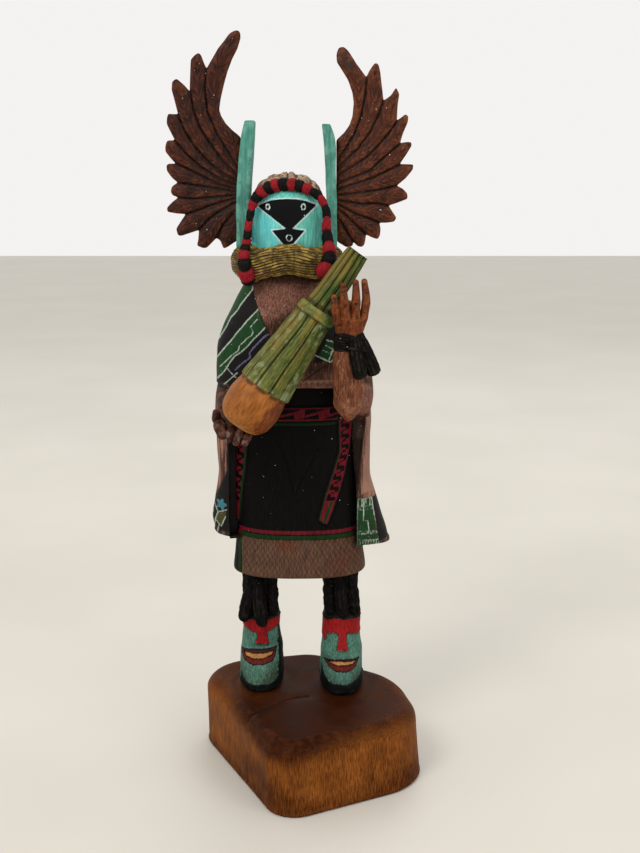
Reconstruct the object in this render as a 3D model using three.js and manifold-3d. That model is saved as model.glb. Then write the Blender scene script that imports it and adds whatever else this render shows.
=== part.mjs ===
// A carved and painted cottonwood doll on a rough-shaped wooden block. A robed figure wears a
// case mask with a pair of crow wings fixed to upright boards, and holds a gourd wrapped in
// green leaves. Millimetres, +Z up. The figure faces -Y. The origin is the middle of the
// block's underside. "Right" and "left" are the figure's own, so its right side is at -X.
import * as THREE from "three";
import { mergeVertices } from "three/addons/utils/BufferGeometryUtils.js";
import Module from "manifold-3d";

const wasm = await Module();
wasm.setup();

// Driving dimensions.
const BLOCK_LENGTH = 118;
const BLOCK_WIDTH = 94;
const BLOCK_HEIGHT = 38.7;
const BLOCK_CORNER_RADIUS = 16;
const BLOCK_EDGE_RADIUS = 8;
const BLOCK_TURN = THREE.MathUtils.degToRad(27);
const FIGURE_HEIGHT = 276;
const BOARD_DEPTH = 18;
const WING_THICKNESS = 5;
const SEAT_GAP = 0.3;

// The figure's pose and proportions are written in 276ths of its height, above its soles.
const UNIT = FIGURE_HEIGHT / 276;
const SOLE_HEIGHT = BLOCK_HEIGHT + SEAT_GAP;

const at = (x, y, z) => new THREE.Vector3(x, y, z).multiplyScalar(UNIT);

// A closed solid from an indexed triangle list, turned to face outwards.
function closedSolid(points, triangles) {
  const geometry = new THREE.BufferGeometry().setFromPoints(points);
  geometry.setIndex(triangles.flat());
  const merged = mergeVertices(geometry, 1e-4);
  const build = (index) =>
    new wasm.Manifold(
      new wasm.Mesh({
        numProp: 3,
        vertProperties: new Float32Array(merged.attributes.position.array),
        triVerts: new Uint32Array(index),
      }),
    );
  const index = Array.from(merged.index.array);
  const made = build(index);
  return made.volume() > 0 ? made : build(index.reverse());
}

// A closed solid from one of the library's own closed geometries.
function fromGeometry(geometry) {
  const bare = new THREE.BufferGeometry();
  bare.setAttribute("position", geometry.getAttribute("position"));
  if (geometry.index) bare.setIndex(geometry.index);
  const merged = mergeVertices(bare, 1e-4);
  return new wasm.Manifold(
    new wasm.Mesh({
      numProp: 3,
      vertProperties: new Float32Array(merged.attributes.position.array),
      triVerts: new Uint32Array(merged.index.array),
    }),
  );
}

// Rings of equal count, skinned in order and capped with a fan at both ends.
function skin(rings) {
  const count = rings[0].length;
  const points = rings.flat();
  const triangles = [];
  for (let i = 0; i + 1 < rings.length; i++) {
    for (let j = 0; j < count; j++) {
      const next = (j + 1) % count;
      const [a, b] = [i * count + j, i * count + next];
      triangles.push([a, b, b + count], [a, b + count, a + count]);
    }
  }
  const centreOf = (ring) =>
    ring.reduce((sum, p) => sum.add(p), new THREE.Vector3()).divideScalar(count);
  const bottom = points.push(centreOf(rings[0])) - 1;
  const top = points.push(centreOf(rings.at(-1))) - 1;
  const last = (rings.length - 1) * count;
  for (let j = 0; j < count; j++) {
    const next = (j + 1) % count;
    triangles.push([bottom, next, j], [top, last + j, last + next]);
  }
  return closedSolid(points, triangles);
}

// One level ring. A section is [z, x, y, half-width, front depth, back depth].
function levelRing([z, x, y, w, front, back], sides, squareness) {
  const ring = [];
  for (let j = 0; j < sides; j++) {
    const angle = (2 * Math.PI * (j + 0.5)) / sides;
    const [c, s] = [Math.cos(angle), Math.sin(angle)];
    const across = Math.sign(c) * Math.abs(c) ** (2 / squareness);
    const along = Math.sign(s) * Math.abs(s) ** (2 / squareness);
    ring.push(at(x + w * across, y + (s < 0 ? front : back) * along, z));
  }
  return ring;
}

const loft = (sections, sides, squareness) =>
  skin(sections.map((section) => levelRing(section, sides, squareness)));

// The section of a loft at one height, between its neighbours.
function sectionAt(sections, z) {
  const rising = [...sections].sort((a, b) => a[0] - b[0]);
  const above = Math.max(1, rising.findIndex((s) => s[0] >= z));
  const [low, high] = [rising[above - 1], rising[above]];
  const share = (z - low[0]) / (high[0] - low[0]);
  return low.map((value, i) => THREE.MathUtils.lerp(value, high[i], share));
}

// How far forward a loft's front face is, at one place across and one height.
function frontOf(sections, squareness, x, z) {
  const [, cx, cy, w, front] = sectionAt(sections, z);
  const across = Math.min(0.995, Math.abs((x - cx) / w));
  return cy - front * (1 - across ** squareness) ** (1 / squareness);
}

// A round limb along a smooth path, with radii shared evenly along it and rounded ends. The
// lobes are swellings, as of a twisted rope.
function limb(path, radii, { sides = 8, steps = 6, grow = 0, lobes = 0 } = {}) {
  const curve = new THREE.CatmullRomCurve3(path.map((p) => at(...p)));
  const frames = curve.computeFrenetFrames(steps, false);
  const ringAt = (centre, k, radius) => {
    const ring = [];
    for (let j = 0; j < sides; j++) {
      const angle = (2 * Math.PI * j) / sides;
      ring.push(
        centre
          .clone()
          .addScaledVector(frames.normals[k], radius * Math.cos(angle))
          .addScaledVector(frames.binormals[k], radius * Math.sin(angle)),
      );
    }
    return ring;
  };
  const waist = lobes > 0 ? 0.16 : 0;
  const radiusAt = (share) => {
    const place = share * (radii.length - 1);
    const i = Math.min(Math.floor(place), radii.length - 2);
    const swell = 1 - waist * Math.cos(Math.PI * lobes * share) ** 2;
    return THREE.MathUtils.lerp(radii[i], radii[i + 1], place - i) * UNIT * swell + grow;
  };
  const rings = [];
  for (let k = 0; k <= steps; k++) {
    rings.push(ringAt(curve.getPointAt(k / steps), k, radiusAt(k / steps)));
  }
  const roundEnd = (k, sign) => {
    const r = radiusAt(k / steps);
    const end = curve.getPointAt(k / steps);
    const share = 0.75;
    const tip = end.addScaledVector(frames.tangents[k], sign * r * share);
    return ringAt(tip, k, r * Math.sqrt(1 - share * share));
  };
  return skin([roundEnd(0, -1), ...rings, roundEnd(steps, 1)]);
}

const join = (solids) => solids.reduce((whole, solid) => whole.add(solid));

// The block is a log end squared by hand, so no two corners are alike. A corner is its place
// across and along, as shares of the width and length, and its radius as a multiple.
const BLOCK_PLAN = [
  [0.6, -0.025, 2.8],
  [0.34, 0.45, 1.4],
  [-0.46, 0.61, 1.7],
  [-0.485, -0.47, 1],
  [0.457, -0.47, 2],
];
// How far the block's top stands to one side of its foot.
const BLOCK_LEAN = -1.6;

function blockRing(inset, z) {
  const middleOfBlock = new THREE.Vector2();
  const corners = BLOCK_PLAN.map(([across, along]) =>
    new THREE.Vector2(across * BLOCK_WIDTH, along * BLOCK_LENGTH).rotateAround(middleOfBlock, BLOCK_TURN),
  );
  const stepsPerCorner = 5;
  const ring = [];
  corners.forEach((corner, i) => {
    const before = corners.at(i - 1).clone().sub(corner);
    const after = corners[(i + 1) % corners.length].clone().sub(corner);
    const halfAngle = before.angleTo(after) / 2;
    const room = 0.49 * Math.min(before.length(), after.length());
    const asked = BLOCK_CORNER_RADIUS * BLOCK_PLAN[i][2];
    const tangent = Math.min(asked / Math.tan(halfAngle), room);
    const radius = tangent * Math.tan(halfAngle);
    const inwards = before.normalize().add(after.normalize()).normalize();
    const centre = corner.clone().addScaledVector(inwards, radius / Math.sin(halfAngle));
    const sweep = Math.PI - 2 * halfAngle;
    const middle = inwards.clone().negate();
    for (let k = 0; k < stepsPerCorner; k++) {
      const turn = sweep * (k / (stepsPerCorner - 1) - 0.5);
      const outwards = middle.clone().rotateAround(middleOfBlock, turn);
      const point = centre.clone().addScaledVector(outwards, radius - inset);
      ring.push(new THREE.Vector3(point.x + (BLOCK_LEAN * z) / BLOCK_HEIGHT, point.y, z));
    }
  });
  return ring;
}

function block() {
  const footInset = 1.2;
  const taper = 1;
  const rings = [blockRing(footInset, 0), blockRing(0, footInset)];
  const edgeSteps = 3;
  for (let i = 0; i <= edgeSteps; i++) {
    const angle = (Math.PI / 2) * (i / edgeSteps);
    const inset = taper + BLOCK_EDGE_RADIUS * (1 - Math.cos(angle));
    const drop = BLOCK_EDGE_RADIUS * (1 - Math.sin(angle));
    rings.push(blockRing(inset, BLOCK_HEIGHT - drop));
  }
  return skin(rings);
}

// Sections of the clothed body. Each is [z, x, y, half-width, front depth, back depth].
const HEAD = [
  [221, -11.6, 16, 17, 17.5, 17.5],
  [232, -11.6, 16, 18.6, 18.6, 19],
  [251, -11.6, 16, 19, 19, 19.5],
  [259, -11.6, 16, 18.4, 18.6, 19.2],
  [264, -11.6, 16, 17, 17.6, 18.2],
  [269, -11.6, 16, 13.8, 15, 16],
  [272.5, -11.6, 16, 9.5, 11, 12.5],
  [274.5, -11.6, 16, 4, 5, 6.5],
];
const HAIR = [
  [226, -11.6, 18, 19.6, 12, 20],
  [253, -11.6, 18, 20, 12.5, 20.5],
  [262, -11.6, 18, 18.9, 13.5, 20],
  [268, -11.6, 18, 16.2, 13.5, 18],
  [272.5, -11.6, 18, 12.4, 12, 14.5],
  [275, -11.6, 18, 7.5, 8, 9.5],
  [276, -11.6, 18, 3, 3.5, 4],
];
const RUFF = [
  [222, -12, 14, 21, 18, 19],
  [223.5, -12, 14, 26, 21, 22],
  [227, -12, 14, 28.8, 23, 24],
  [232, -12, 14, 29.4, 23.6, 24.5],
  [236.5, -12, 14, 27.8, 22.6, 23.5],
  [239.5, -12, 14, 23, 20, 21],
];
const CHEST = [
  [229, -11.5, 18, 18, 15, 15],
  [220, -12, 18, 22.5, 19, 17],
  [210, -12.5, 18, 27.5, 22.5, 19],
  [204, -12.8, 18, 30.2, 24, 20],
  [197, -13, 18, 33, 24.6, 21.5],
  [189, -12.6, 18, 36.2, 25, 22.5],
  [179, -11.2, 18, 38.6, 25, 23.5],
  [168, -9.8, 18, 40.2, 24, 24.5],
];
const ROBE = [
  [170, -10, 18, 39.6, 24, 24.3],
  [151, -9.6, 18, 42, 23, 25.5],
  [121, -9, 18, 41.2, 22, 26],
  [111, -8.2, 18, 43, 22, 26.5],
  [101, -7.5, 18, 45.3, 22, 27.5],
  [91, -6.5, 18, 47.5, 22, 28.5],
  [80, -5.4, 18, 48.4, 22, 29],
  [74, -5.2, 18, 48.4, 22, 29],
];
const DRESS = [
  [172, -9, 18, 29, 20.5, 20],
  [151, -9, 18, 31, 21.5, 21],
  [136, -8.6, 18, 32, 22.5, 21.6],
  [111, -7.6, 18, 33, 23.6, 22.4],
  [91, -7, 18, 34, 24.6, 23.2],
  [76, -6.5, 18, 35.6, 25.5, 24.2],
  [67, -6.4, 18, 36.6, 26, 25],
  [65.5, -6.4, 18, 35.4, 25, 24],
];
const BODY_SQUARENESS = 2.5;
const HEAD_SQUARENESS = 2.3;

// A belt is a loft's own skin between two heights, standing a little proud of it.
function belt(sections, low, high, proud) {
  const ringAt = (z, out) => {
    const [, x, y, w, front, back] = sectionAt(sections, z);
    return [z, x, y, w + out, front + out, back + out];
  };
  const ease = proud * 0.7;
  const outline = [[low, 0], [low + ease, proud], [high - ease, proud], [high, 0]];
  return loft(outline.map(([z, out]) => ringAt(z, out)), 26, BODY_SQUARENESS);
}

// A flat sash end hangs on the dress: [z, x, half-width] from top to bottom.
function sashEnd(places, thickness) {
  const rings = places.map(([z, x, half]) => {
    const face = (px) => frontOf(DRESS, BODY_SQUARENESS, px, z);
    const depths = [face(x - half), face(x + half)];
    return [
      at(x - half, depths[0] - thickness, z),
      at(x + half, depths[1] - thickness, z),
      at(x + half, depths[1] + 2 * thickness, z),
      at(x - half, depths[0] + 2 * thickness, z),
    ];
  });
  return skin(rings);
}

// The outline of a flat cutter, seen from the front, run from one depth to another.
function cutter(outline, front, back) {
  const shape = new THREE.Shape(outline.map(([x, z]) => new THREE.Vector2(x * UNIT, z * UNIT)));
  const options = { depth: (back - front) * UNIT, bevelEnabled: false };
  const slab = new THREE.ExtrudeGeometry(shape, options);
  slab.rotateX(Math.PI / 2);
  slab.translate(0, back * UNIT, 0);
  return fromGeometry(slab);
}

// The robe is a cloak that hangs open over the dress, longer on the figure's left.
function robe() {
  const opening = [
    [-36, 168], [27, 168], [28, 150], [26.4, 135], [24.8, 119], [23.8, 100], [24.2, 60],
    [-41, 60], [-43, 95], [-43, 140],
  ];
  const belowHem = [[-70, 88], [70, 79.4], [70, 60], [-70, 60]];
  const [farFront, openingDepth, farBack] = [-60, 6, 90];
  return loft(ROBE, 28, BODY_SQUARENESS)
    .subtract(cutter(opening, farFront, openingDepth))
    .subtract(cutter(belowHem, farFront, farBack));
}

// The braided head band: an arch over the brow, then a tail down each side over the ruff.
function headBand() {
  const brow = [];
  const archSteps = 12;
  for (let i = 0; i <= archSteps; i++) {
    const angle = Math.PI * (1 - i / archSteps);
    const across = Math.sign(Math.cos(angle)) * Math.abs(Math.cos(angle)) ** 0.9;
    brow.push([-11.9 + 20.4 * across, 0.8, 248 + 21.4 * Math.sin(angle) ** 0.9]);
  }
  const rightTail = [[-30.6, -2.5, 218], [-32.2, -7, 225], [-33.2, -5.5, 233], [-32.6, 0, 240]];
  const leftTail = [[8.7, 0, 240], [9.4, -4.5, 233], [6.6, -8.5, 227], [1.5, -10, 221]];
  const path = [...rightTail, ...brow, ...leftTail];
  return limb(path, [2.7, 2.6, 2.9, 3, 3, 2.9, 2.6, 2.9], { sides: 6, steps: 48, lobes: 24 });
}

// One leg with its stocking and moccasin. The leg's place is its ankle, on the soles' plane.
function leg(x, toe) {
  const y = 17;
  const stocking = loft(
    [
      [38, x, y, 9.2, 9.2, 9.2],
      [48, x - 0.4, y, 9.6, 9.6, 9.4],
      [70, x - 0.6, y, 10.2, 10, 10],
    ],
    10,
    2.1,
  );
  const shoe = loft(
    [
      [0, x, y, 11, toe - 0.6, 13],
      [2, x, y, 11.8, toe, 13.6],
      [5, x, y, 11.9, toe - 0.2, 13.6],
      [10, x, y, 12, toe - 1.8, 12.8],
      [16, x, y, 11.9, toe - 5.4, 11.6],
      [24, x, y, 11.1, toe - 9.6, 10.6],
      [33, x, y, 10.1, 10.4, 10],
      [36, x, y, 10.3, 10.2, 10.2],
      [40.5, x, y, 10.1, 10, 10],
    ],
    14,
    2.2,
  );
  return join([stocking, shoe]);
}

// Yarn tassels hang in pairs as plain round-ended lobes.
const tassel = (top, end, radius, options) => limb([top, end], [radius * 0.8, radius], options);

const kneeTassels = () => [
  tassel([-33, 9, 55], [-36.2, 6.4, 40], 3.5, { sides: 7, steps: 1 }),
  tassel([-29, 7.5, 54], [-27.6, 5, 37.5], 3.6, { sides: 7, steps: 1 }),
  tassel([22, 9, 55], [23.6, 9.5, 43], 2.9, { sides: 7, steps: 1 }),
  tassel([15, 7.5, 55], [16, 6.5, 44], 2.9, { sides: 7, steps: 1 }),
];

// The robe's sleeve over the raised left arm.
function sleeve() {
  const path = [[12, 16, 194], [19.6, 9, 180], [22, 2, 164], [22.6, 6, 146]];
  return limb(path, [9, 11, 9.6, 7], { sides: 10 });
}

// Upright boards beside the head: [z, x of the middle, half-thickness], from foot to top.
const RIGHT_BOARD = [
  [212, -34.4, 2.8], [232, -34.7, 3.5], [260, -34.4, 3.6],
  [276, -33.4, 3.6], [292, -31.8, 3.5], [301, -30.5, 2.6],
];
const LEFT_BOARD = [
  [214, 10.6, 2.4], [232, 10.9, 2.8], [260, 10.6, 2.8],
  [276, 10.1, 2.8], [292, 9.4, 3], [299.5, 7.7, 2.3],
];
const WING_MIDDLE = 18;

function sideBoard(places, grow = 0) {
  const growUp = (i) => (i === 0 ? -grow : i === places.length - 1 ? grow : 0);
  const rings = places.map(([z, x, half], i) => {
    const front = WING_MIDDLE * UNIT - BOARD_DEPTH / 2 - grow;
    const back = WING_MIDDLE * UNIT + BOARD_DEPTH / 2 + grow;
    const reach = half * UNIT + grow;
    const ease = Math.min(1.2 * UNIT, reach * 0.6);
    const outline = [
      [reach, front + ease], [reach, back - ease], [reach - ease, back], [ease - reach, back],
      [-reach, back - ease], [-reach, front + ease], [ease - reach, front], [reach - ease, front],
    ];
    return outline.map(([dx, y]) => new THREE.Vector3(x * UNIT + dx, y, z * UNIT + growUp(i)));
  });
  return skin(rings);
}

// Wings: eleven flight feathers fan out from the board. Each feather's lean is in degrees
// from straight up towards the outside, and its reach is from the wing's root.
const RIGHT_WING = {
  side: -1, board: RIGHT_BOARD, root: [-41, 264],
  lean: [-4, 12, 25, 37, 50, 65, 84, 102, 124, 148, 170],
  reach: [81, 71.5, 63.5, 51, 42, 36, 31, 33.5, 34, 31, 28],
};
const LEFT_WING = {
  side: 1, board: LEFT_BOARD, root: [16, 264],
  lean: [-1, 15, 27, 39, 53, 68, 91, 113, 138, 158, 172],
  reach: [73, 67.5, 59.5, 51.5, 44, 39, 33.5, 30, 28.5, 28, 26],
};

// The feathers leave the board one below the other, from this height down.
const FIRST_FEATHER_START = 283;
const FEATHER_PITCH = 3.5;

// A feather is a flat blade with a raised shaft. Its path bows outwards between root and tip.
function feather(wing, index) {
  const lean = THREE.MathUtils.degToRad(wing.lean[index]);
  const [rootX, rootZ] = wing.root;
  const tip = new THREE.Vector2(
    rootX + wing.side * wing.reach[index] * Math.sin(lean),
    rootZ + wing.reach[index] * Math.cos(lean),
  );
  const start = new THREE.Vector2(rootX - wing.side * 3, FIRST_FEATHER_START - FEATHER_PITCH * index);
  const chord = tip.clone().sub(start);
  const outwards = new THREE.Vector2(chord.y, -chord.x).normalize().multiplyScalar(wing.side);
  const bow = 24 * Math.exp(-0.42 * index);
  const bend = start.clone().add(tip).multiplyScalar(0.5).addScaledVector(outwards, bow);
  const path = new THREE.QuadraticBezierCurve(start, bend, tip);
  const halfWidth = 5.1 - 0.11 * index;
  const shape = [[0, 0.66], [0.36, 0.9], [0.68, 1], [0.9, 0.7], [1, 0.12]];
  const rings = shape.map(([share, width]) => {
    const centre = path.getPointAt(share);
    const along = path.getTangentAt(share);
    const half = halfWidth * width;
    const thin = (WING_THICKNESS / UNIT / 2) * (1 - 0.35 * share);
    const edge = thin * 0.4;
    const place = (across, y) =>
      at(centre.x - along.y * across, WING_MIDDLE + y, centre.y + along.x * across);
    return [place(half, -edge), place(half, edge), place(0, thin), place(-half, edge),
      place(-half, -edge), place(0, -thin)];
  });
  return skin(rings);
}

function wing(plan) {
  const blades = plan.lean.map((_, index) => feather(plan, index));
  return join(blades).subtract(sideBoard(plan.board, SEAT_GAP));
}

// The gourd and its leaves turn about one slanting axis, from the gourd's foot to the cut top.
const BUNDLE_FOOT = [-36.3, -23.2, 151.6];
const BUNDLE_TOP = [23.2, -17.2, 237.3];
const BOWL_PROFILE = [
  [3.6, 0], [7.9, 0.8], [11.7, 3.6], [14, 8.5], [14.5, 14], [13.8, 20], [13.1, 23.4],
];
const LEAF_PROFILE = [
  [14, 23.7], [12.7, 38], [11.2, 53], [10, 65.5], [10.4, 66.4], [10.1, 71.5], [8.1, 72], [7.2, 86],
  [6, 104.4], [5.4, 105.2],
];

// The leaves are cut with long grooves, one between each pair of ribs.
function bundle(grow = 0) {
  const sides = 20;
  const groove = 0.05;
  const foot = at(...BUNDLE_FOOT);
  const axis = at(...BUNDLE_TOP).sub(foot).normalize();
  const sideways = new THREE.Vector3(0, 1, 0).cross(axis).normalize();
  const forwards = axis.clone().cross(sideways);
  const ringAt = (radius, height, depth) => {
    const ring = [];
    for (let j = 0; j < sides; j++) {
      const angle = (2 * Math.PI * j) / sides;
      const reach = radius * UNIT * (j % 2 ? 1 - depth : 1) + grow;
      ring.push(
        foot
          .clone()
          .addScaledVector(axis, height)
          .addScaledVector(sideways, reach * Math.cos(angle))
          .addScaledVector(forwards, reach * Math.sin(angle)),
      );
    }
    return ring;
  };
  const bowl = BOWL_PROFILE.map(([radius, height], i) =>
    ringAt(radius, height * UNIT - (i === 0 ? grow : 0), 0),
  );
  const leaves = LEAF_PROFILE.map(([radius, height], i) =>
    ringAt(radius, height * UNIT + (i === LEAF_PROFILE.length - 1 ? grow : 0), groove),
  );
  return skin([...bowl, ...leaves]);
}

// The raised left forearm with its wrist yarn, two tassels and a hand that grips the leaves.
function leftForearm(grow = 0) {
  const round = { sides: 9, steps: 5, grow };
  const thin = { sides: 5, steps: 2, grow };
  const stub = { sides: 7, steps: 1, grow };
  const bentArm = [[19, 2, 172], [19.4, -9, 163], [19, -19, 162], [18.6, -22, 176], [17.2, -24, 196]];
  return join([
    limb(bentArm, [8, 8, 7.8, 7.4, 5.3], round),
    limb([[16.8, -24, 191], [17.6, -24.5, 199]], [5.9, 6.1], stub),
    limb([[17.8, -25, 199], [19.4, -26.5, 206]], [5.2, 6.2], stub),
    limb([[14, -27, 203], [12.6, -30, 210], [11.2, -29.6, 216.5]], [2.4, 1.9, 1.5], thin),
    limb([[17.6, -28, 205], [16.8, -30.5, 214], [16, -29, 223]], [2.4, 2, 1.5], thin),
    limb([[21.4, -27, 205], [21.9, -27.4, 215], [22.2, -26, 224]], [2.4, 2, 1.5], thin),
    limb([[24, -26, 204], [27.2, -25, 213], [26.2, -24, 224]], [2.4, 2, 1.5], thin),
    limb([[21.5, -22, 201], [23, -13, 207], [18.6, -8.5, 212]], [2.8, 2.4, 1.8], thin),
    tassel([21.5, -28, 196], [24.2, -29.5, 178.5], 3.9, stub),
    tassel([23.5, -26.5, 197], [31.4, -25.5, 179.5], 3.9, stub),
  ]);
}

// The right hand comes out of the robe and cups the gourd from below, with its fingers
// turned down and its thumb up. A finger is where it starts, where it ends and its radius.
const RIGHT_FINGERS = [
  [[-46, -19, 152], [-43.8, -24, 147.8], 3.1],
  [[-37, -21, 150.5], [-41.2, -24.5, 145.4], 2.4],
  [[-33.6, -22, 149], [-37.2, -25, 144.2], 2.4],
  [[-30, -23, 147.4], [-32.8, -25.5, 143.8], 2.2],
];

function rightHand(grow = 0) {
  const thin = { sides: 5, steps: 1, grow };
  const wrist = [[-43.5, 4, 160], [-42.5, -6, 154], [-40, -17, 149]];
  const palm = [[-42, -15, 150], [-34, -18, 148]];
  const thumb = [[-44.5, -14, 150], [-47, -19, 155], [-47.4, -22, 159]];
  return join([
    limb(wrist, [6, 5.4, 5], { sides: 8, steps: 3, grow }),
    limb(palm, [4.8, 4], { sides: 7, steps: 1, grow }),
    limb(thumb, [3.2, 2.6, 2], { sides: 6, steps: 2, grow }),
    ...RIGHT_FINGERS.map(([start, end, radius]) => limb([start, end], [radius, radius * 0.9], thin)),
  ]);
}

// The figure itself is one carving, from the moccasins to the crown.
function figure() {
  const whole = join([
    loft(HEAD, 20, HEAD_SQUARENESS),
    loft(HAIR, 20, HEAD_SQUARENESS),
    loft(RUFF, 24, HEAD_SQUARENESS),
    loft(CHEST, 26, BODY_SQUARENESS),
    robe(),
    loft(DRESS, 26, BODY_SQUARENESS),
    belt(DRESS, 150, 157.5, 1.1),
    sashEnd([[152, 18.9, 3.6], [134, 16.8, 3.6], [115, 11.9, 3.5], [94, 6, 2.4]], 1.2),
    sashEnd([[152, -36, 3.4], [139, -36.4, 3.6], [118, -37.2, 3], [96, -39, 1.6]], 1.2),
    headBand(),
    sleeve(),
    leg(-27.6, 18.6),
    leg(16.4, 22.6),
    ...kneeTassels(),
  ]);
  const seats = [
    sideBoard(RIGHT_BOARD, SEAT_GAP),
    sideBoard(LEFT_BOARD, SEAT_GAP),
    bundle(SEAT_GAP),
    leftForearm(SEAT_GAP),
    rightHand(SEAT_GAP),
  ];
  return seats.reduce((left, seat) => left.subtract(seat), whole);
}

// A named mesh from a solid, in its painted or oiled colour.
function piece(name, solid, colour, roughness) {
  const { numProp, vertProperties, triVerts } = solid.getMesh();
  const corners = new Float32Array(triVerts.length * 3);
  triVerts.forEach((vertex, i) => {
    corners.set(vertProperties.subarray(vertex * numProp, vertex * numProp + 3), i * 3);
  });
  const geometry = new THREE.BufferGeometry();
  geometry.setAttribute("position", new THREE.BufferAttribute(corners, 3));
  geometry.computeVertexNormals();
  const material = new THREE.MeshStandardMaterial({ color: colour, roughness, metalness: 0 });
  const mesh = new THREE.Mesh(geometry, material);
  mesh.name = name;
  return mesh;
}

const doll = new THREE.Group();
doll.add(piece("base_block", block(), 0x6b3a17, 0.55));

const carving = new THREE.Group();
carving.position.z = SOLE_HEIGHT;
const held = bundle(SEAT_GAP);
carving.add(
  piece("figure", figure(), 0x2a1a16, 0.75),
  piece("right_side_board", sideBoard(RIGHT_BOARD), 0x4aa592, 0.7),
  piece("left_side_board", sideBoard(LEFT_BOARD), 0x4aa592, 0.7),
  piece("right_wing", wing(RIGHT_WING), 0x43200f, 0.6),
  piece("left_wing", wing(LEFT_WING), 0x5a2b12, 0.6),
  piece("gourd_bundle", bundle(), 0x6d7233, 0.6),
  piece("left_forearm", leftForearm().subtract(held), 0x96502a, 0.65),
  piece("right_hand", rightHand().subtract(held), 0x4d2a1c, 0.65),
);
doll.add(carving);

export default doll;
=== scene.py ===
"""Looks of a carved and painted kachina doll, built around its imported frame.

Shapes are given in millimetres: x to the figure's left, y to its back and z up from its soles.
Paint is laid as fields, distances in millimetres to the edge of each painted shape, which the
finishes turn into crisp, slightly ragged coats of colour.
"""

import logging
import math
from dataclasses import dataclass, field, replace
from enum import Enum
from functools import cache
from typing import Sequence

import bpy
import numpy as np
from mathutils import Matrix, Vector
from mathutils.geometry import delaunay_2d_cdt


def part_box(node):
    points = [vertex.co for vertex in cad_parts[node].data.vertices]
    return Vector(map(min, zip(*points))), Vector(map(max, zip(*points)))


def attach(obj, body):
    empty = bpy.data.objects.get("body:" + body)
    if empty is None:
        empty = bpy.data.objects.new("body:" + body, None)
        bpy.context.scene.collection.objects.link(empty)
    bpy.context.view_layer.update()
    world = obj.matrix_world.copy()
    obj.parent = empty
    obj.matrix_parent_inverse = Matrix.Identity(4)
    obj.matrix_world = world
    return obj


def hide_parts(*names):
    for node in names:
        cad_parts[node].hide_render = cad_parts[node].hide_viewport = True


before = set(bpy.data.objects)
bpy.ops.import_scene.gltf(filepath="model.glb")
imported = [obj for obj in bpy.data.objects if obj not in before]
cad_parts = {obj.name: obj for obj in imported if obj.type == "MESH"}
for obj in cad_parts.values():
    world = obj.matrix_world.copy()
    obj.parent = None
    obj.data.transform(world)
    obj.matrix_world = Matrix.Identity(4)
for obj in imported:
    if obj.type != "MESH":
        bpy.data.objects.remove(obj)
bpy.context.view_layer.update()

FIGURE_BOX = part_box("figure")
FIGURE_HEIGHT = 276.0
BLOCK_HEIGHT = 38.7
FAR = 60.0

Array = np.ndarray
Colour = tuple[float, float, float, float]
Point2 = tuple[float, float]
Point3 = tuple[float, float, float]
Pair = tuple[float, float]
Line = tuple[Point2, ...]
Path = tuple[Point3, ...]
Limb = tuple[Path, tuple[float, ...]]
Socket = bpy.types.NodeSocket

log = logging.getLogger("kachina")


def hue(code: str) -> Colour:
    """Turns a colour as seen on a screen into the light it stands for.

    Args:
        code: six hexadecimal digits.

    Returns:
        The linear colour with full cover.
    """
    seen = np.array([int(code[i : i + 2], 16) for i in (0, 2, 4)]) / 255
    light = np.where(seen <= 0.04045, seen / 12.92, ((seen + 0.055) / 1.055) ** 2.4)
    return (float(light[0]), float(light[1]), float(light[2]), 1)


def places(text: str) -> tuple[tuple[float, ...], ...]:
    """Reads places that are written as numbers with commas, one after the other."""
    return tuple(tuple(float(number) for number in place.split(",")) for place in text.split())


def tracks(text: str) -> tuple[Line, ...]:
    """Reads several lines of places with strokes between them."""
    return tuple(places(line) for line in text.split("/"))


# Shaping in numbers


def bend(knots: Array, rows: Array, slopes: Array, at: Array) -> Array:
    """Runs a cubic curve through rows of numbers.

    Args:
        knots: places of the rows.
        rows: what it goes through.
        slopes: its slopes there.
        at: places where the curve is wanted.

    Returns:
        The curve's rows.
    """
    i = np.clip(np.searchsorted(knots, at, side="right") - 1, 0, len(knots) - 2)
    gap = (knots[i + 1] - knots[i])[:, None]
    t = (at - knots[i])[:, None] / gap
    return (
        (2 * t**3 - 3 * t**2 + 1) * rows[i] + (t**3 - 2 * t**2 + t) * gap * slopes[i] + (3 * t**2 - 2 * t**3)
        * rows[i + 1] + (t**3 - t**2) * gap * slopes[i + 1]
    )


def smooth(knots: Sequence[float], values: Sequence, at: Array) -> Array:
    """Runs a smooth curve without overshoot through values at increasing knots.

    Args:
        knots: places of the values.
        values: one row or number per knot.
        at: places where the curve is wanted.

    Returns:
        The curve's rows or numbers at those places.
    """
    knots, rows = np.asarray(knots, float), np.asarray(values, float)
    single = rows.ndim == 1
    rows = rows[:, None] if single else rows
    gaps = np.diff(knots)[:, None]
    rises = np.diff(rows, axis=0) / gaps
    slopes = np.zeros_like(rows)
    slopes[0], slopes[-1] = rises[0], rises[-1]
    if len(knots) > 2:
        first, second = 2 * gaps[1:] + gaps[:-1], gaps[1:] + 2 * gaps[:-1]
        same = rises[:-1] * rises[1:] > 0
        low, high = np.where(same, rises[:-1], 1), np.where(same, rises[1:], 1)
        slopes[1:-1] = np.where(same, (first + second) / (first / low + second / high), 0)
    curve = bend(knots, rows, slopes, np.clip(np.asarray(at, float), knots[0], knots[-1]))
    return curve[:, 0] if single else curve


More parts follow.
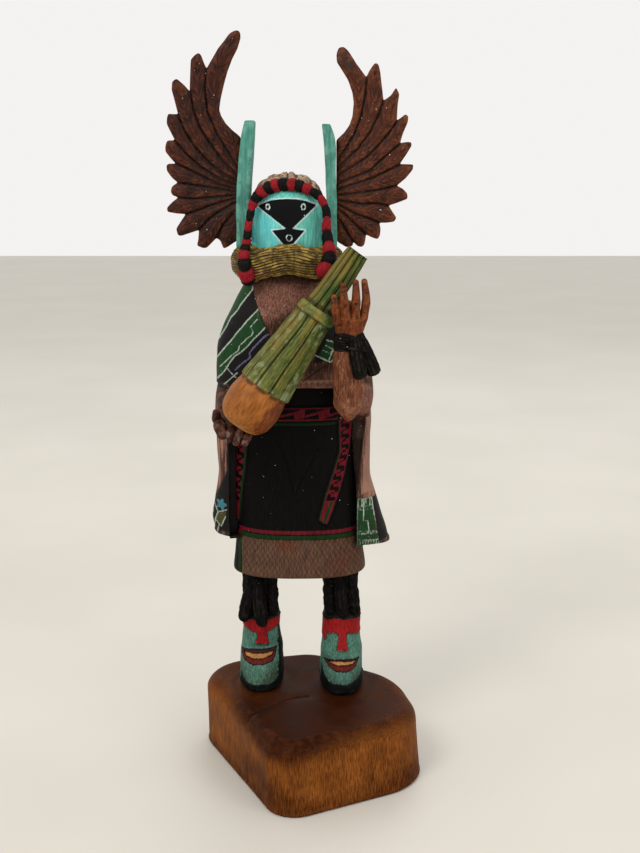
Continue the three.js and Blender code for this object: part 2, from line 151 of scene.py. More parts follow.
def evenly(line: Array, count: int, closed: bool = False) -> Array:
    """Lays evenly spaced points along a line of straight steps.

    Args:
        line: its corners.
        count: how many points are wanted.
        closed: whether it runs back to its first corner.

    Returns:
        The points in order.
    """
    line = np.vstack([line, line[:1]]) if closed else line
    run = np.concatenate([[0], np.cumsum(np.linalg.norm(np.diff(line, axis=0), axis=1))])
    at = np.linspace(0, run[-1], count, endpoint=not closed)
    return np.stack([np.interp(at, run, column) for column in line.T], axis=1)


def through(points: Sequence[Point3], count: int) -> Array:
    """Lays evenly spaced points on a soft curve through given ones.

    Args:
        points: the places it goes through.
        count: how many points are wanted.

    Returns:
        The points in order.
    """
    stops = np.asarray(points, float)
    steps = np.sqrt(np.linalg.norm(np.diff(stops, axis=0), axis=1))
    knots = np.concatenate([[0], np.cumsum(steps)])
    padded = np.vstack([2 * stops[0] - stops[1], stops, 2 * stops[-1] - stops[-2]])
    wide = np.concatenate([[-steps[0]], knots, [knots[-1] + steps[-1]]])
    slopes = (padded[2:] - padded[:-2]) / (wide[2:] - wide[:-2])[:, None]
    return evenly(bend(knots, stops, slopes, np.linspace(0, knots[-1], 40 * len(stops))), count)


def ramp(value: Array, low: float, high: float) -> Array:
    """Eases from 0 at low to 1 at high."""
    share = np.clip((value - low) / (high - low), 0, 1)
    return share * share * (3 - 2 * share)


def wobble(points: Array, size: float, seed: int) -> Array:
    """Gives a smooth uneven surface, about -1 to 1, from seeded waves.

    Args:
        points: places in millimetres.
        size: usual width of a bump in millimetres.
        seed: number of the random draw.

    Returns:
        One number per place.
    """
    draw = np.random.default_rng(seed)
    total = np.zeros(len(points))
    waves = 14
    for _ in range(waves):
        way = draw.normal(size=points.shape[1])
        way *= 2 * math.pi / (size * draw.uniform(1.1, 2.6)) / np.linalg.norm(way)
        total += np.sin(points @ way + draw.uniform(0, 2 * math.pi))
    return total / math.sqrt(waves)


def line_distance(points: Array, line: Sequence[Point2], closed: bool = False) -> Array:
    """Measures how far places lie from a line of straight steps.

    Args:
        points: places, two numbers each.
        line: its corners.
        closed: whether the last corner joins the first.

    Returns:
        One distance per place.
    """
    corners = np.asarray(line, float)
    ends = np.roll(corners, -1, axis=0) if closed else corners[1:]
    starts = corners if closed else corners[:-1]
    best = np.full(len(points), FAR)
    for start, end in zip(starts, ends):
        run = end - start
        share = np.clip((points - start) @ run / max(run @ run, 1e-9), 0, 1)
        best = np.minimum(best, np.linalg.norm(points - start - share[:, None] * run, axis=1))
    return best


def shape_distance(points: Array, shape: Sequence[Point2]) -> Array:
    """Measures how far places lie outside a closed shape.

    Args:
        points: places, two numbers each.
        shape: its corners in order.

    Returns:
        One distance per place, negative inside.
    """
    corners = np.asarray(shape, float)
    inside = np.zeros(len(points), bool)
    for (x0, y0), (x1, y1) in zip(corners, np.roll(corners, -1, axis=0)):
        if y0 == y1:
            continue
        crosses = (points[:, 1] > y0) != (points[:, 1] > y1)
        side = (x1 - x0) * (points[:, 1] - y0) / (y1 - y0) + x0
        inside ^= crosses & (points[:, 0] < side)
    distance = line_distance(points, shape, closed=True)
    return np.where(inside, -distance, distance)


def any_of(*fields: Array) -> Array:
    """Joins painted shapes into one field."""
    return np.minimum.reduce(fields)


def both(*fields: Array) -> Array:
    """Keeps what lies in every one of the painted shapes."""
    return np.maximum.reduce(fields)


def only(where: Array) -> Array:
    """Gives the field of the places where something holds."""
    return np.where(where, -FAR, FAR)


def bump(away: Array, width: float) -> Array:
    """Gives a soft bump, 1 in the middle and 0 far from it."""
    return np.exp(-((away / width) ** 2))


def stripes(points: Array, half: float, *lines: Sequence[Point2]) -> Array:
    """Paints lines that reach half their width to either side."""
    return any_of(*[line_distance(points, line) for line in lines]) - half


# Meshes


@dataclass
class Form:
    """A mesh in the making, with its finishes and fields.

    A triangle has -1 as its fourth corner. stroke holds, in millimetres, the place of each point
    in the piece's own grain: across, across and along.
    """

    points: Array
    faces: Array
    finish: Array
    stroke: Array
    fields: dict[str, Array] = field(default_factory=dict)

    @property
    def x(self) -> Array:
        """Places from right to left."""
        return self.points[:, 0]

    @property
    def y(self) -> Array:
        """Places from front to back."""
        return self.points[:, 1]

    @property
    def z(self) -> Array:
        """Heights above the soles."""
        return self.points[:, 2]

    @property
    def front_view(self) -> Array:
        """Places as seen straight from the front."""
        return self.points[:, [0, 2]]

    @property
    def angle(self) -> Array:
        """Angles about the middle of the piece's own grain."""
        return np.arctan2(self.stroke[:, 1], self.stroke[:, 0])

    def paint(self, name: str, *shapes: Array) -> None:
        """Adds painted shapes to a field."""
        held = [self.fields[name]] if name in self.fields else []
        self.fields[name] = any_of(*held, *shapes)

    def corners(self) -> tuple[Array, Array, Array, Array]:
        """Gives the corners of all faces, a triangle's third one twice."""
        a, b, c, d = self.faces.T
        return a, b, c, np.where(d < 0, c, d)

    def wobble(self, size: float, seed: int) -> Array:
        """Gives the smooth uneven surface at the points."""
        return wobble(self.points, size, seed)

    def normals(self) -> Array:
        """Gives the outward direction at each point."""
        p = self.points
        a, b, c, last = self.corners()
        way = np.cross(p[c] - p[a], p[last] - p[b])
        total = np.zeros_like(p)
        for corner in (a, b, c, last):
            for k in range(3):
                total[:, k] += np.bincount(corner, way[:, k], len(p))
        return total / np.maximum(np.linalg.norm(total, axis=1), 1e-12)[:, None]

    def push(self, amounts: Array) -> "Form":
        """Moves each point outwards."""
        self.points = self.points + self.normals() * np.asarray(amounts)[:, None]
        return self

    def face_out(self) -> "Form":
        """Turns the faces so that they look outwards, and returns the form."""
        f, p = self.faces, self.points
        a, b, c, last = self.corners()
        volume = np.einsum("ij,ij->i", p[a], np.cross(p[b], p[c]) + np.cross(p[c], p[last])).sum()
        if volume < 0:
            quad = f[:, 3] >= 0
            turned = f[:, [0, 2, 1, 3]].copy()
            turned[quad] = f[quad][:, [0, 3, 2, 1]]
            self.faces = turned
        return self

    def relief(self, rounds: int = 14) -> Array:
        """Measures how far each point stands above the surface around it.

        Args:
            rounds: how often the surface is averaged.

        Returns:
            Millimetres per point, negative in hollows.
        """
        f = self.faces
        ring = [f[:, 0], f[:, 1], f[:, 2], np.where(f[:, 3] < 0, f[:, 0], f[:, 3])]
        start = np.concatenate(ring + ring[1:] + ring[:1])
        end = np.concatenate(ring[1:] + ring[:1] + ring)
        count = np.maximum(np.bincount(start, minlength=len(self.points)), 1)
        soft = self.points.copy()
        for _ in range(rounds):
            mean = np.stack([np.bincount(start, soft[end, k], len(soft)) / count for k in range(3)], axis=1)
            soft = 0.4 * soft + 0.6 * mean
        return np.einsum("ij,ij->i", self.points - soft, self.normals())


def gather(forms: Sequence[Form]) -> Form:
    """Joins several forms into one.

    Args:
        forms: the forms, whose missing paint is taken as far away.

    Returns:
        One form with the fields of all.
    """
    starts = np.cumsum([0] + [len(form.points) for form in forms])
    fields = {
        name: np.concatenate(
            [form.fields.get(name, np.full(len(form.points), 0 if name == "groove" else FAR)) for form in forms]
        ) for name in sorted({name for form in forms for name in form.fields})
    }
    return Form(
        np.concatenate([form.points for form in forms]),
        np.concatenate([np.where(form.faces < 0, -1, form.faces + start) for form, start in zip(forms, starts)]),
        np.concatenate([form.finish for form in forms]), np.concatenate([form.stroke for form in forms]), fields
    )


def skin(rings: Array, finish: int = 0, stroke: Array | None = None) -> Form:
    """Covers a stack of rings of equal count and closes both ends.

    Args:
        rings: rings of points, one after the other.
        finish: number of the finish on all faces.
        stroke: grain places of the ring points, the points themselves where left out.

    Returns:
        The closed form.
    """
    rows, around = rings.shape[:2]
    index = np.arange(rows * around).reshape(rows, around)
    beside = np.roll(index, -1, axis=1)
    walls = np.stack([index[:-1], beside[:-1], beside[1:], index[1:]], axis=-1).reshape(-1, 4)
    low, high = rows * around, rows * around + 1
    none = np.full(around, -1)
    low_fan = np.stack([beside[0], index[0], np.full(around, low), none], axis=1)
    high_fan = np.stack([index[-1], beside[-1], np.full(around, high), none], axis=1)
    points = np.vstack([rings.reshape(-1, 3), rings[0].mean(axis=0), rings[-1].mean(axis=0)])
    grain = rings if stroke is None else stroke
    grain = np.vstack([grain.reshape(-1, 3), grain[0].mean(axis=0), grain[-1].mean(axis=0)])
    faces = np.vstack([walls, low_fan, high_fan])
    return Form(points, faces, np.full(len(faces), finish), grain).face_out()


CAP_SHARES = (0.93, 0.8, 0.6, 0.35)


def capped(rings: Array) -> Array:
    """Adds shrinking rings over both ends, so that flat ends have points of their own.

    Args:
        rings: rings of points, one after the other.

    Returns:
        The rings with the new ones.
    """
    low, high = rings[0].mean(axis=0), rings[-1].mean(axis=0)
    before = [low + (rings[0] - low) * share for share in reversed(CAP_SHARES)]
    after = [high + (rings[-1] - high) * share for share in CAP_SHARES]
    return np.concatenate([before, rings, after])


@dataclass(frozen=True)
class Body:
    """A carved body given by sections: height, middle x and y, half width, front and back."""

    sections: tuple[tuple[float, ...], ...]
    squareness: float = 2.5

    def rows(self, z: Array) -> Array:
        """Gives the section's middle, half width, front and back at each height."""
        table = np.array(sorted(self.sections))
        return smooth(table[:, 0], table[:, 1:], z)

    def outline(self, rows: Array, around: int, density: float) -> Array:
        """Draws the rings of the sections.

        Args:
            rows: middle x and y, half width, front and back of each ring.
            around: points in a ring.
            density: how much closer the points lie at the front.

        Returns:
            Ring points, two numbers each.
        """
        turn = np.linspace(0, 2 * math.pi, 721) + math.pi / 2
        bend = 2 / self.squareness
        across = np.sign(np.cos(turn)) * np.abs(np.cos(turn)) ** bend
        deep = np.sign(np.sin(turn)) * np.abs(np.sin(turn)) ** bend
        xs = rows[:, 0:1] + rows[:, 2:3] * across
        ys = rows[:, 1:2] + np.where(deep < 0, rows[:, 3:4], rows[:, 4:5]) * deep
        weight = 1 + (density - 1) * ramp(-0.5 * (deep[1:] + deep[:-1]), -0.5, 0.1)
        steps = np.hypot(np.diff(xs, axis=1), np.diff(ys, axis=1)) * weight
        runs = np.concatenate([np.zeros((len(rows), 1)), np.cumsum(steps, axis=1)], axis=1)
        shares = np.linspace(0, 1, around, endpoint=False)
        rings = np.empty((len(rows), around, 2))
        for i, run in enumerate(runs):
            rings[i, :, 0] = np.interp(shares * run[-1], run, xs[i])
            rings[i, :, 1] = np.interp(shares * run[-1], run, ys[i])
        return rings

    def carve(
        self, spacing: float, around: int, finish: int = 0, span: Pair | None = None, rounding: Pair = (0.8, 0.8),
        density: float = 1.7
    ) -> Form:
        """Makes the body's closed form.

        Args:
            spacing: height between rings.
            around: points in a ring.
            finish: number of the finish.
            span: lowest and highest height, the sections' own where left out.
            rounding: radius of the lower and the upper edge.
            density: how much closer the points lie at the front.

        Returns:
            The form.
        """
        heights = [section[0] for section in self.sections]
        low, high = span or (min(heights), max(heights))
        first, last = rounding
        turns = np.linspace(0, math.pi / 2, 5)[:-1]
        middle = np.arange(low + first, high - last, spacing)
        z = np.concatenate([low + first * (1 - np.cos(turns)), middle, high - last * (1 - np.cos(turns[::-1]))])
        inset = np.concatenate([first * (1 - np.sin(turns)), 0 * middle, last * (1 - np.sin(turns[::-1]))])
        rows = self.rows(z)
        rows[:, 2:] = np.maximum(rows[:, 2:] - inset[:, None], 0.3)
        flat = self.outline(rows, around, density)
        rings = np.concatenate([flat, np.broadcast_to(z[:, None, None], flat.shape[:2] + (1,))], axis=2)
        return skin(capped(rings), finish)


def limb(
    path: Sequence[Point3], radii: Sequence[float], around: int = 24, spacing: float = 0.7, finish: int = 0,
    flat: float = 1, blunt: Pair = (1, 1)
) -> Form:
    """Makes a round limb along a path, with rounded ends.

    Args:
        path: places that its middle goes through.
        radii: its radius, at equal steps along the path.
        around: points in a ring.
        spacing: distance between rings.
        finish: number of the finish.
        flat: how deep it is, as a share of its width.
        blunt: how far the first and the last end bulge, as a share of the radius.

    Returns:
        The form. Its stroke is the ring's own flat place and the length along.
    """
    length = np.linalg.norm(np.diff(through(path, 60), axis=0), axis=1).sum()
    count = max(int(length / spacing), 4)
    middle = through(path, count)
    along = np.linspace(0, length, count)
    radius = smooth(np.linspace(0, length, len(radii)), radii, along)
    ways = np.gradient(middle, axis=0)
    ways /= np.linalg.norm(ways, axis=1)[:, None]
    side = np.cross(ways[0], (0, 1, 0))
    side = np.array((1, 0, 0)) if np.linalg.norm(side) < 0.2 else side / np.linalg.norm(side)
    sides = []
    for way in ways:
        side = side - way * (side @ way)
        side = side / np.linalg.norm(side)
        sides.append(side)
    turns = np.linspace(0, math.pi / 2, 6)[1:]
    first = [(0, -math.cos(a) * blunt[0], math.sin(a)) for a in turns[:-1]]
    last = [(count - 1, math.cos(a) * blunt[1], math.sin(a)) for a in reversed(turns[:-1])]
    rows = first + [(i, 0, 1) for i in range(count)] + last
    angle = np.linspace(0, 2 * math.pi, around, endpoint=False)
    rings, grain = [], []
    for i, out, share in rows:
        across, deep = sides[i], np.cross(ways[i], sides[i])
        wide = radius[i] * share
        centre = middle[i] + ways[i] * out * radius[i]
        ring = centre + wide * (np.cos(angle)[:, None] * across + flat * np.sin(angle)[:, None] * deep)
        rings.append(ring)
        run = along[i] + out * radius[i]
        grain.append(np.stack([wide * np.cos(angle), wide * np.sin(angle), np.full(around, run)], axis=1))
    return skin(np.array(rings), finish, np.array(grain))


# Finishes


class Bench:
    """Lays out the nodes of one finish."""

    def __init__(self, name: str) -> None:
        """Starts an empty finish.

        Args:
            name: what the finish is called.
        """
        self.material = bpy.data.materials.new(name)
        self.material.use_nodes = True
        self.tree = self.material.node_tree
        self.shader = self.tree.nodes["Principled BSDF"]
        self.place = self.tree.nodes.new("ShaderNodeTexCoord").outputs["Object"]

    def put(self, kind: str, plugs: dict | None = None, **settings: object) -> bpy.types.Node:
        """Adds a node.

        Args:
            kind: its type.
            plugs: what goes into its inputs, an output of another node or a plain value.
            settings: its own settings.

        Returns:
            The node.
        """
        node = self.tree.nodes.new(kind)
        for name, value in settings.items():
            setattr(node, name, value)
        for name, value in (plugs or {}).items():
            if isinstance(value, Socket):
                self.tree.links.new(value, node.inputs[name])
            else:
                node.inputs[name].default_value = value
        return node

    def held(self, name: str) -> Socket:
        """Gives a field of the mesh as a number."""
        return self.put("ShaderNodeAttribute", attribute_name=name).outputs["Fac"]

    def sum(self, kind: str, a: object, b: object = 0) -> Socket:
        """Does one step of arithmetic on two numbers."""
        return self.put("ShaderNodeMath", {0: a, 1: b}, operation=kind).outputs[0]

    def noise(self, where: object, size: Point3, detail: float = 3, rough: float = 0.55) -> Socket:
        """Gives uneven tone, from 0 to 1.

        Args:
            where: output that holds places.
            size: width of its spots along each direction.
            detail: how many finer layers it has.
            rough: how strong the finer layers are.

        Returns:
            The tone.
        """
        scaled = self.put("ShaderNodeVectorMath", {0: where, 1: tuple(1 / s for s in size)}, operation="MULTIPLY")
        return self.put(
            "ShaderNodeTexNoise", {"Vector": scaled.outputs[0], "Scale": 1, "Detail": detail, "Roughness": rough}
        ).outputs["Fac"]

    def span(self, value: object, low: float, high: float, to: Pair = (0, 1)) -> Socket:
        """Eases a number from one range into another."""
        plugs = {"Value": value, "From Min": low, "From Max": high, "To Min": to[0], "To Max": to[1]}
        return self.put("ShaderNodeMapRange", plugs, interpolation_type="SMOOTHSTEP").outputs["Result"]

    def blend(self, share: object, a: object, b: object, kind: str = "MIX") -> Socket:
        """Blends two colours."""
        plugs = {0: share, 6: a, 7: b}
        return self.put("ShaderNodeMix", plugs, data_type="RGBA", blend_type=kind).outputs[2]

    def finish(self, colour: object, rough: object, height: object, reach: float) -> bpy.types.Material:
        """Joins colour, roughness and height to the shader.

        Args:
            colour: output of the colour.
            rough: output of the roughness.
            height: output of the fine height, from 0 to 1.
            reach: how deep that height is, in millimetres.

        Returns:
            The finished material.
        """
        raised = self.put("ShaderNodeBump", {"Height": height, "Distance": reach / 1000, "Strength": 1})
        for value, name in ((colour, "Base Color"), (rough, "Roughness"), (raised.outputs[0], "Normal")):
            self.tree.links.new(value, self.shader.inputs[name])
        return self.material


# Colour of the painted shade in hollows and grooves, where a finish gives none of its own.
HOLLOW_SHADE: Colour = (0.012, 0.009, 0.007, 1)
SHADE: Colour = (0.45, 0.42, 0.4, 1)
SPECK: Colour = (0.62, 0.58, 0.52, 1)


@dataclass(frozen=True)
class Coat:
    """One colour of paint over a field of the mesh."""

    name: str
    colour: str
    second: str
    ragged: float = 0.3
    soft: float = 0.14
    thin: float = 0
    repeat: float = 0
    half: float = 0.2
    within: str = ""


@dataclass(frozen=True)
class Finish:
    """Stained or painted wood, streaked along the grain, worn on its edges, with painted shade in its hollows and
    grooves.
    """

    name: str
    dark: str
    light: str
    streak: Point3 = (0.45, 0.45, 7)
    contrast: Pair = (0.38, 0.62)
    coats: tuple[Coat, ...] = ()
    blotch: float = 14
    blotched: float = 0.25
    # Painted shade: its colour, its strength and the range of relief over which hollows darken.
    hollow_shade: str = ""
    deep: float = 0.7
    hollow_shade_reach: Pair = (0.03, 0.22)
    worn: str = ""
    wear: float = 0.5
    wear_reach: Pair = (0.05, 0.2)
    specks: float = 0
    rough: Pair = (0.5, 0.72)
    reach: float = 0.12
    gloss: float = 0.16

    @cache
    def dress(self) -> bpy.types.Material:
        """Builds the finish's material, once."""
        bench = Bench(self.name)
        spots = bench.place
        grain = bench.put("ShaderNodeAttribute", attribute_name="stroke")
        streaks = bench.noise(grain.outputs["Vector"], self.streak, 4, 0.6)
        fine = bench.noise(spots, (0.00035,) * 3, 2, 0.6)
        broad = bench.noise(spots, (self.blotch / 1000,) * 3, 3, 0.55)
        ragged = bench.sum("SUBTRACT", bench.noise(spots, (0.0011,) * 3, 3, 0.6), 0.5)
        tone = bench.span(streaks, *self.contrast)
        colour = bench.blend(tone, hue(self.dark), hue(self.light))
        cover: Socket | None = None
        for coat in self.coats:
            away = bench.held(coat.name)
            if coat.repeat:
                away = bench.sum("SUBTRACT", bench.sum("PINGPONG", away, coat.repeat / 2), coat.half)
            edge = bench.sum("ADD", away, bench.sum("MULTIPLY", ragged, coat.ragged * 3))
            mask = bench.span(edge, -coat.soft, coat.soft, (1, 0))
            if coat.within:
                mask = bench.sum("MULTIPLY", mask, bench.span(bench.held(coat.within), -0.3, 0, (1, 0)))
            if coat.thin:
                gaps = bench.span(streaks, 0.5 - coat.thin * 0.2, 0.5 + coat.thin * 0.2, (1, 1 - coat.thin))
                mask = bench.sum("MULTIPLY", mask, gaps)
            colour = bench.blend(mask, colour, bench.blend(tone, hue(coat.second), hue(coat.colour)))
            cover = mask if cover is None else bench.sum("MAXIMUM", cover, mask)
        shade = bench.span(broad, 0.35, 0.68, (self.blotched, 0))
        colour = bench.blend(shade, colour, bench.blend(1, colour, SHADE, "MULTIPLY"))
        relief = bench.held("relief")
        relief = bench.sum("ADD", relief, bench.sum("MULTIPLY", bench.sum("SUBTRACT", fine, 0.5), 0.1))
        if self.worn:
            rubbed = bench.span(relief, *self.wear_reach)
            patchy = bench.span(bench.noise(spots, (0.004,) * 3, 4, 0.65), 0.42, 0.62)
            rubbed = bench.sum("MULTIPLY", bench.sum("MULTIPLY", rubbed, patchy), self.wear)
            colour = bench.blend(rubbed, colour, hue(self.worn))
        # Painted shade: hollows and the groove field darken towards the shade colour.
        sunk = bench.span(bench.sum("MULTIPLY", relief, -1), *self.hollow_shade_reach, (0, self.deep))
        cut = bench.sum("MAXIMUM", sunk, bench.sum("MULTIPLY", bench.held("groove"), 0.92))
        colour = bench.blend(cut, colour, hue(self.hollow_shade) if self.hollow_shade else HOLLOW_SHADE)
        if self.specks:
            dots = bench.span(bench.noise(spots, (0.0012,) * 3, 1, 0.4), 0.8 - self.specks * 0.1, 0.83)
            colour = bench.blend(dots, colour, SPECK)
        mixed = bench.sum("ADD", bench.sum("MULTIPLY", broad, 0.5), bench.sum("MULTIPLY", streaks, 0.5))
        rough = bench.span(mixed, 0.35, 0.65, self.rough)
        height = bench.sum("ADD", bench.sum("MULTIPLY", streaks, 0.75), bench.sum("MULTIPLY", fine, 0.25))
        if cover is not None:
            height = bench.sum("ADD", height, bench.sum("MULTIPLY", cover, 0.35))
        bench.shader.inputs["Specular IOR Level"].default_value = self.gloss
        return bench.finish(colour, rough, height, self.reach)


# Joining a form to the frame


def metres(points: Array) -> Array:
    """Turns millimetres above the soles into metres of the frame."""
    low, high = FIGURE_BOX
    return points * ((high[2] - low[2]) / FIGURE_HEIGHT) + np.array((0, 0, low[2]))


class Piece:
    """A sub-assembly that becomes one piece of the scene."""

    name: str
    node: str
    finishes: tuple[Finish, ...]
    slot: str = "painted_figure"
    crease: float = 55

    def form(self) -> Form:
        """Makes the mesh."""
        raise NotImplementedError

    def build(self) -> bpy.types.Object:
        """Makes the piece, dresses it and ties it to the frame.

        Returns:
            The piece.
        """
        form = self.form()
        mesh = bpy.data.meshes.new(self.name)
        faces = [row[:3] if row[3] < 0 else row for row in form.faces.tolist()]
        mesh.from_pydata(metres(form.points).tolist(), [], faces)
        mesh.polygons.foreach_set("material_index", form.finish.astype(np.int32))
        mesh.polygons.foreach_set("use_smooth", np.ones(len(faces), bool))
        coats = {coat.name for finish in self.finishes for coat in finish.coats}
        fields = {name: np.full(len(form.points), FAR) for name in sorted(coats)}
        fields |= {"groove": np.zeros(len(form.points)), "relief": form.relief(), **form.fields}
        for label, values in fields.items():
            held = mesh.attributes.new(label, "FLOAT", "POINT")
            held.data.foreach_set("value", np.asarray(values, np.float32))
        grain = mesh.attributes.new("stroke", "FLOAT_VECTOR", "POINT")
        grain.data.foreach_set("vector", np.asarray(form.stroke, np.float32).ravel())
        for finish in self.finishes:
            mesh.materials.append(finish.dress())
        mesh.update()
        mesh.set_sharp_from_angle(angle=math.radians(self.crease))
        piece = bpy.data.objects.new(self.name, mesh)
        bpy.context.collection.objects.link(piece)
        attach(piece, "root")
        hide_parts(self.node)
        log.info("%s: %d triangles", self.name, len(faces) + (form.faces[:, 3] >= 0).sum())
        return piece


# The block that the figure stands on


class Side(Enum):
    """The figure's own side, as a sign along x."""

    RIGHT = -1
    LEFT = 1


BLOCK_FINISH = Finish(
    "stained_cottonwood", "582a0e", "9a5c24", streak=(0.3, 0.3, 7), contrast=(0.33, 0.69),
    coats=(
        Coat("smoke", "54280d", "381908", ragged=2.2, soft=7, thin=0.4),
        Coat("walnut", "421d0a", "261005", ragged=2, soft=6)
    ), blotch=13, blotched=0.6, deep=0.8, worn="7a4522", wear=0.12, rough=(0.42, 0.6), reach=0.1, gloss=0.03
)


@dataclass
class BaseBlock(Piece):
    """The rough-shaped cottonwood block."""

    name = "base_block_wood"
    node = "base_block"
    slot = "stained_block"
    finishes = (BLOCK_FINISH,)
    length: float = 118
    width: float = 94
    height: float = BLOCK_HEIGHT
    corner: float = 16
    edge: float = 8
    turn: float = math.radians(27)
    lean: float = -1.6
    foot_inset: float = 1.2
    taper: float = 1
    plan: Path = places("0.6,-0.025,2.8 0.34,0.45,1.4 -0.46,0.61,1.7 -0.485,-0.47,1 0.457,-0.47,2")
    feet: tuple[tuple[Point2, float], ...] = (((-27.4, 14), 15), ((16.4, 12), 16))
    crack: Line = places("-58,-50 -41.7,-36 -29.2,-23.7 -13.9,-8.5 -2,-4")

    def ring(self, inset: float, z: float, around: int = 300) -> Array:
        """Draws the block's outline at one height.

        Args:
            inset: how far inside the plan it lies.
            z: height above the underside.
            around: points in the ring.

        Returns:
            The ring's points.
        """
        cos, sin = math.cos(self.turn), math.sin(self.turn)
        corners = [
            np.array(
                (a * self.width * cos - b * self.length * sin, a * self.width * sin + b * self.length * cos)
            ) for a, b, _ in self.plan
        ]
        outline: list[Array] = []
        for i, corner in enumerate(corners):
            before, after = corners[i - 1] - corner, corners[(i + 1) % len(corners)] - corner
            far_before, far_after = np.linalg.norm(before), np.linalg.norm(after)
            before, after = before / far_before, after / far_after
            half = math.acos(float(before @ after)) / 2
            tangent = min(self.corner * self.plan[i][2] / math.tan(half), 0.49 * min(far_before, far_after))
            radius = tangent * math.tan(half)
            inwards = (before + after) / np.linalg.norm(before + after)
            centre = corner + inwards * radius / math.sin(half)
            start = math.atan2(-inwards[1], -inwards[0])
            sweep = math.pi - 2 * half
            for share in np.linspace(-0.5, 0.5, 24):
                way = start + sweep * share
                outline.append(centre + (radius - inset) * np.array((math.cos(way), math.sin(way))))
        flat = evenly(np.array(outline), around, closed=True)
        return np.column_stack([flat[:, 0] + self.lean * z / self.height, flat[:, 1], np.full(around, z)])

    def form(self) -> Form:
        """Makes the block with its hollows, crack and tool marks."""
        rings = [self.ring(self.foot_inset * (1 - k / 3), self.foot_inset * k / 3) for k in range(4)]
        shoulder = self.height - self.edge
        rings += [
            self.ring(self.taper * z / shoulder, z) for z in np.arange(self.foot_inset + 1, shoulder - 0.4, 1.2)
        ]
        for angle in np.linspace(0, math.pi / 2, 12):
            inset = self.taper + self.edge * (1 - math.cos(angle))
            rings.append(self.ring(inset, self.height - self.edge * (1 - math.sin(angle))))
        top = rings[-1]
        middle = top.mean(axis=0)
        low_middle = rings[0].mean(axis=0)
        shares = np.linspace(0.97, 0.02, 46)
        rings += [middle + (top - middle) * share for share in shares]
        rings = [low_middle + (rings[0] - low_middle) * share for share in (0.1, 0.4, 0.7, 0.9)] + rings
        form = skin(np.array(rings))
        flat, z = form.points[:, :2], form.z
        above = ramp(z, self.height - 9, self.height - 0.5)
        sides = ramp(z, 0.2, 3) * (1 - above)
        sunk = np.zeros(len(z))
        for (x, y), reach in self.feet:
            spread = np.hypot((flat[:, 0] - x) / reach, (flat[:, 1] - y) / (reach * 1.35))
            sunk += bump(spread - 1.05, 0.28)
        crack = line_distance(flat, self.crack)
        sunk += 1.1 * bump(crack, 0.9) + 0.9 * bump(crack, 4.5)
        wander = form.wobble(34, 3)
        amounts = above * (-0.5 - sunk * 0.75 + 0.35 * wander) - sides * (0.45 + 0.4 * wander)
        marks = wobble(np.stack([np.arctan2(flat[:, 1], flat[:, 0]) * 50, z * 0.12], axis=1), 3.2, 9)
        amounts = amounts - sides * 0.1 * (1 + marks)
        form.push(np.where(z < 0.15, 0, amounts))
        form.points[:, 2] = np.clip(form.z, 0, self.height)
        corner = np.hypot(form.x + 14, form.y + 62)
        edge = self.height - 5 - 1.5 * wobble(form.points[:, :2], 50, 21) - 6 * bump(corner, 26)
        form.paint("walnut", edge - form.z)
        # The sides are painted darker towards the bottom and in a patch on the front left.
        patch = np.hypot(form.x + 26, form.z - 11) - 11 + np.where(form.y < 0, 0, FAR)
        form.paint("smoke", form.z - 5 - 5 * form.wobble(45, 22), patch)
        knot = np.minimum(np.hypot(flat[:, 0] + 8, flat[:, 1] - 34), np.hypot(flat[:, 0] + 1.5, flat[:, 1] - 42))
        groove = 0.8 * bump(crack, 0.5) * ramp(-form.x, 22, 46)
        # Groove field: painted shade in the carved crack, and two dark knots.
        form.fields["groove"] = above * np.maximum(groove, 1 - ramp(knot, 0.6, 1.5))
        form.points[:, 0] *= 0.997
        form.points[:, 2] -= BLOCK_HEIGHT + 0.3
        return form


# Mask, crown, head band and ruff


def chisel(form: Form, depth: float, size: float, seed: int) -> Form:
    """Gives a form the shallow uneven surface of knife work."""
    return form.push(depth * (form.wobble(size, seed) - 1))


MASK_FINISH = Finish(
    "turquoise_mask", "50a799", "74cdbf", streak=(0.5, 0.5, 9), contrast=(0.36, 0.64),
    coats=(
        # The first coat is painted light on the mask's right side, the second painted shade on its edges and under
        # the band.
        Coat("cool", "74dbdb", "57c0c4", ragged=1.2, soft=5, thin=0.4),
        Coat("shade", "2f7a70", "276a62", ragged=1.5, soft=1.6, thin=0.4), Coat("black", "0c0c0e", "070708"),
        Coat("white", "cfe0de", "a9c4c2", ragged=0.22, soft=0.12)
    ), blotch=9, blotched=0.35, rough=(0.6, 0.8), reach=0.09, specks=0.1, gloss=0.1
)
CROWN_FINISH = Finish(
    "cream_crown", "523e2d", "a2856a", streak=(0.8, 1.6, 2.2), contrast=(0.36, 0.6), blotch=5, blotched=0.4,
    worn="c6ac8c", wear=0.8, rough=(0.6, 0.8), reach=0.2
)
BAND_FINISH = Finish(
    "red_and_black_band", "080706", "13100e", streak=(0.5, 0.5, 2.5),
    coats=(Coat("red", "9a1c26", "74121c", ragged=0.3, soft=0.2),), blotch=4, blotched=0.3, deep=0.85, worn="322824",
    wear=0.2, rough=(0.5, 0.72), reach=0.12, gloss=0.08
)
RUFF_FINISH = Finish(
    "olive_ruff", "2c200c", "705a26", streak=(9, 9, 0.45), contrast=(0.36, 0.62),
    coats=(Coat("rust", "6a4030", "54301f", ragged=1.2, soft=1, thin=0.5),), blotch=7, blotched=0.45, deep=0.9,
    hollow_shade_reach=(0.02, 0.16), worn="aa8e46", wear=0.9, wear_reach=(0.03, 0.14), specks=0.3, rough=(0.5, 0.7),
    reach=0.18
)


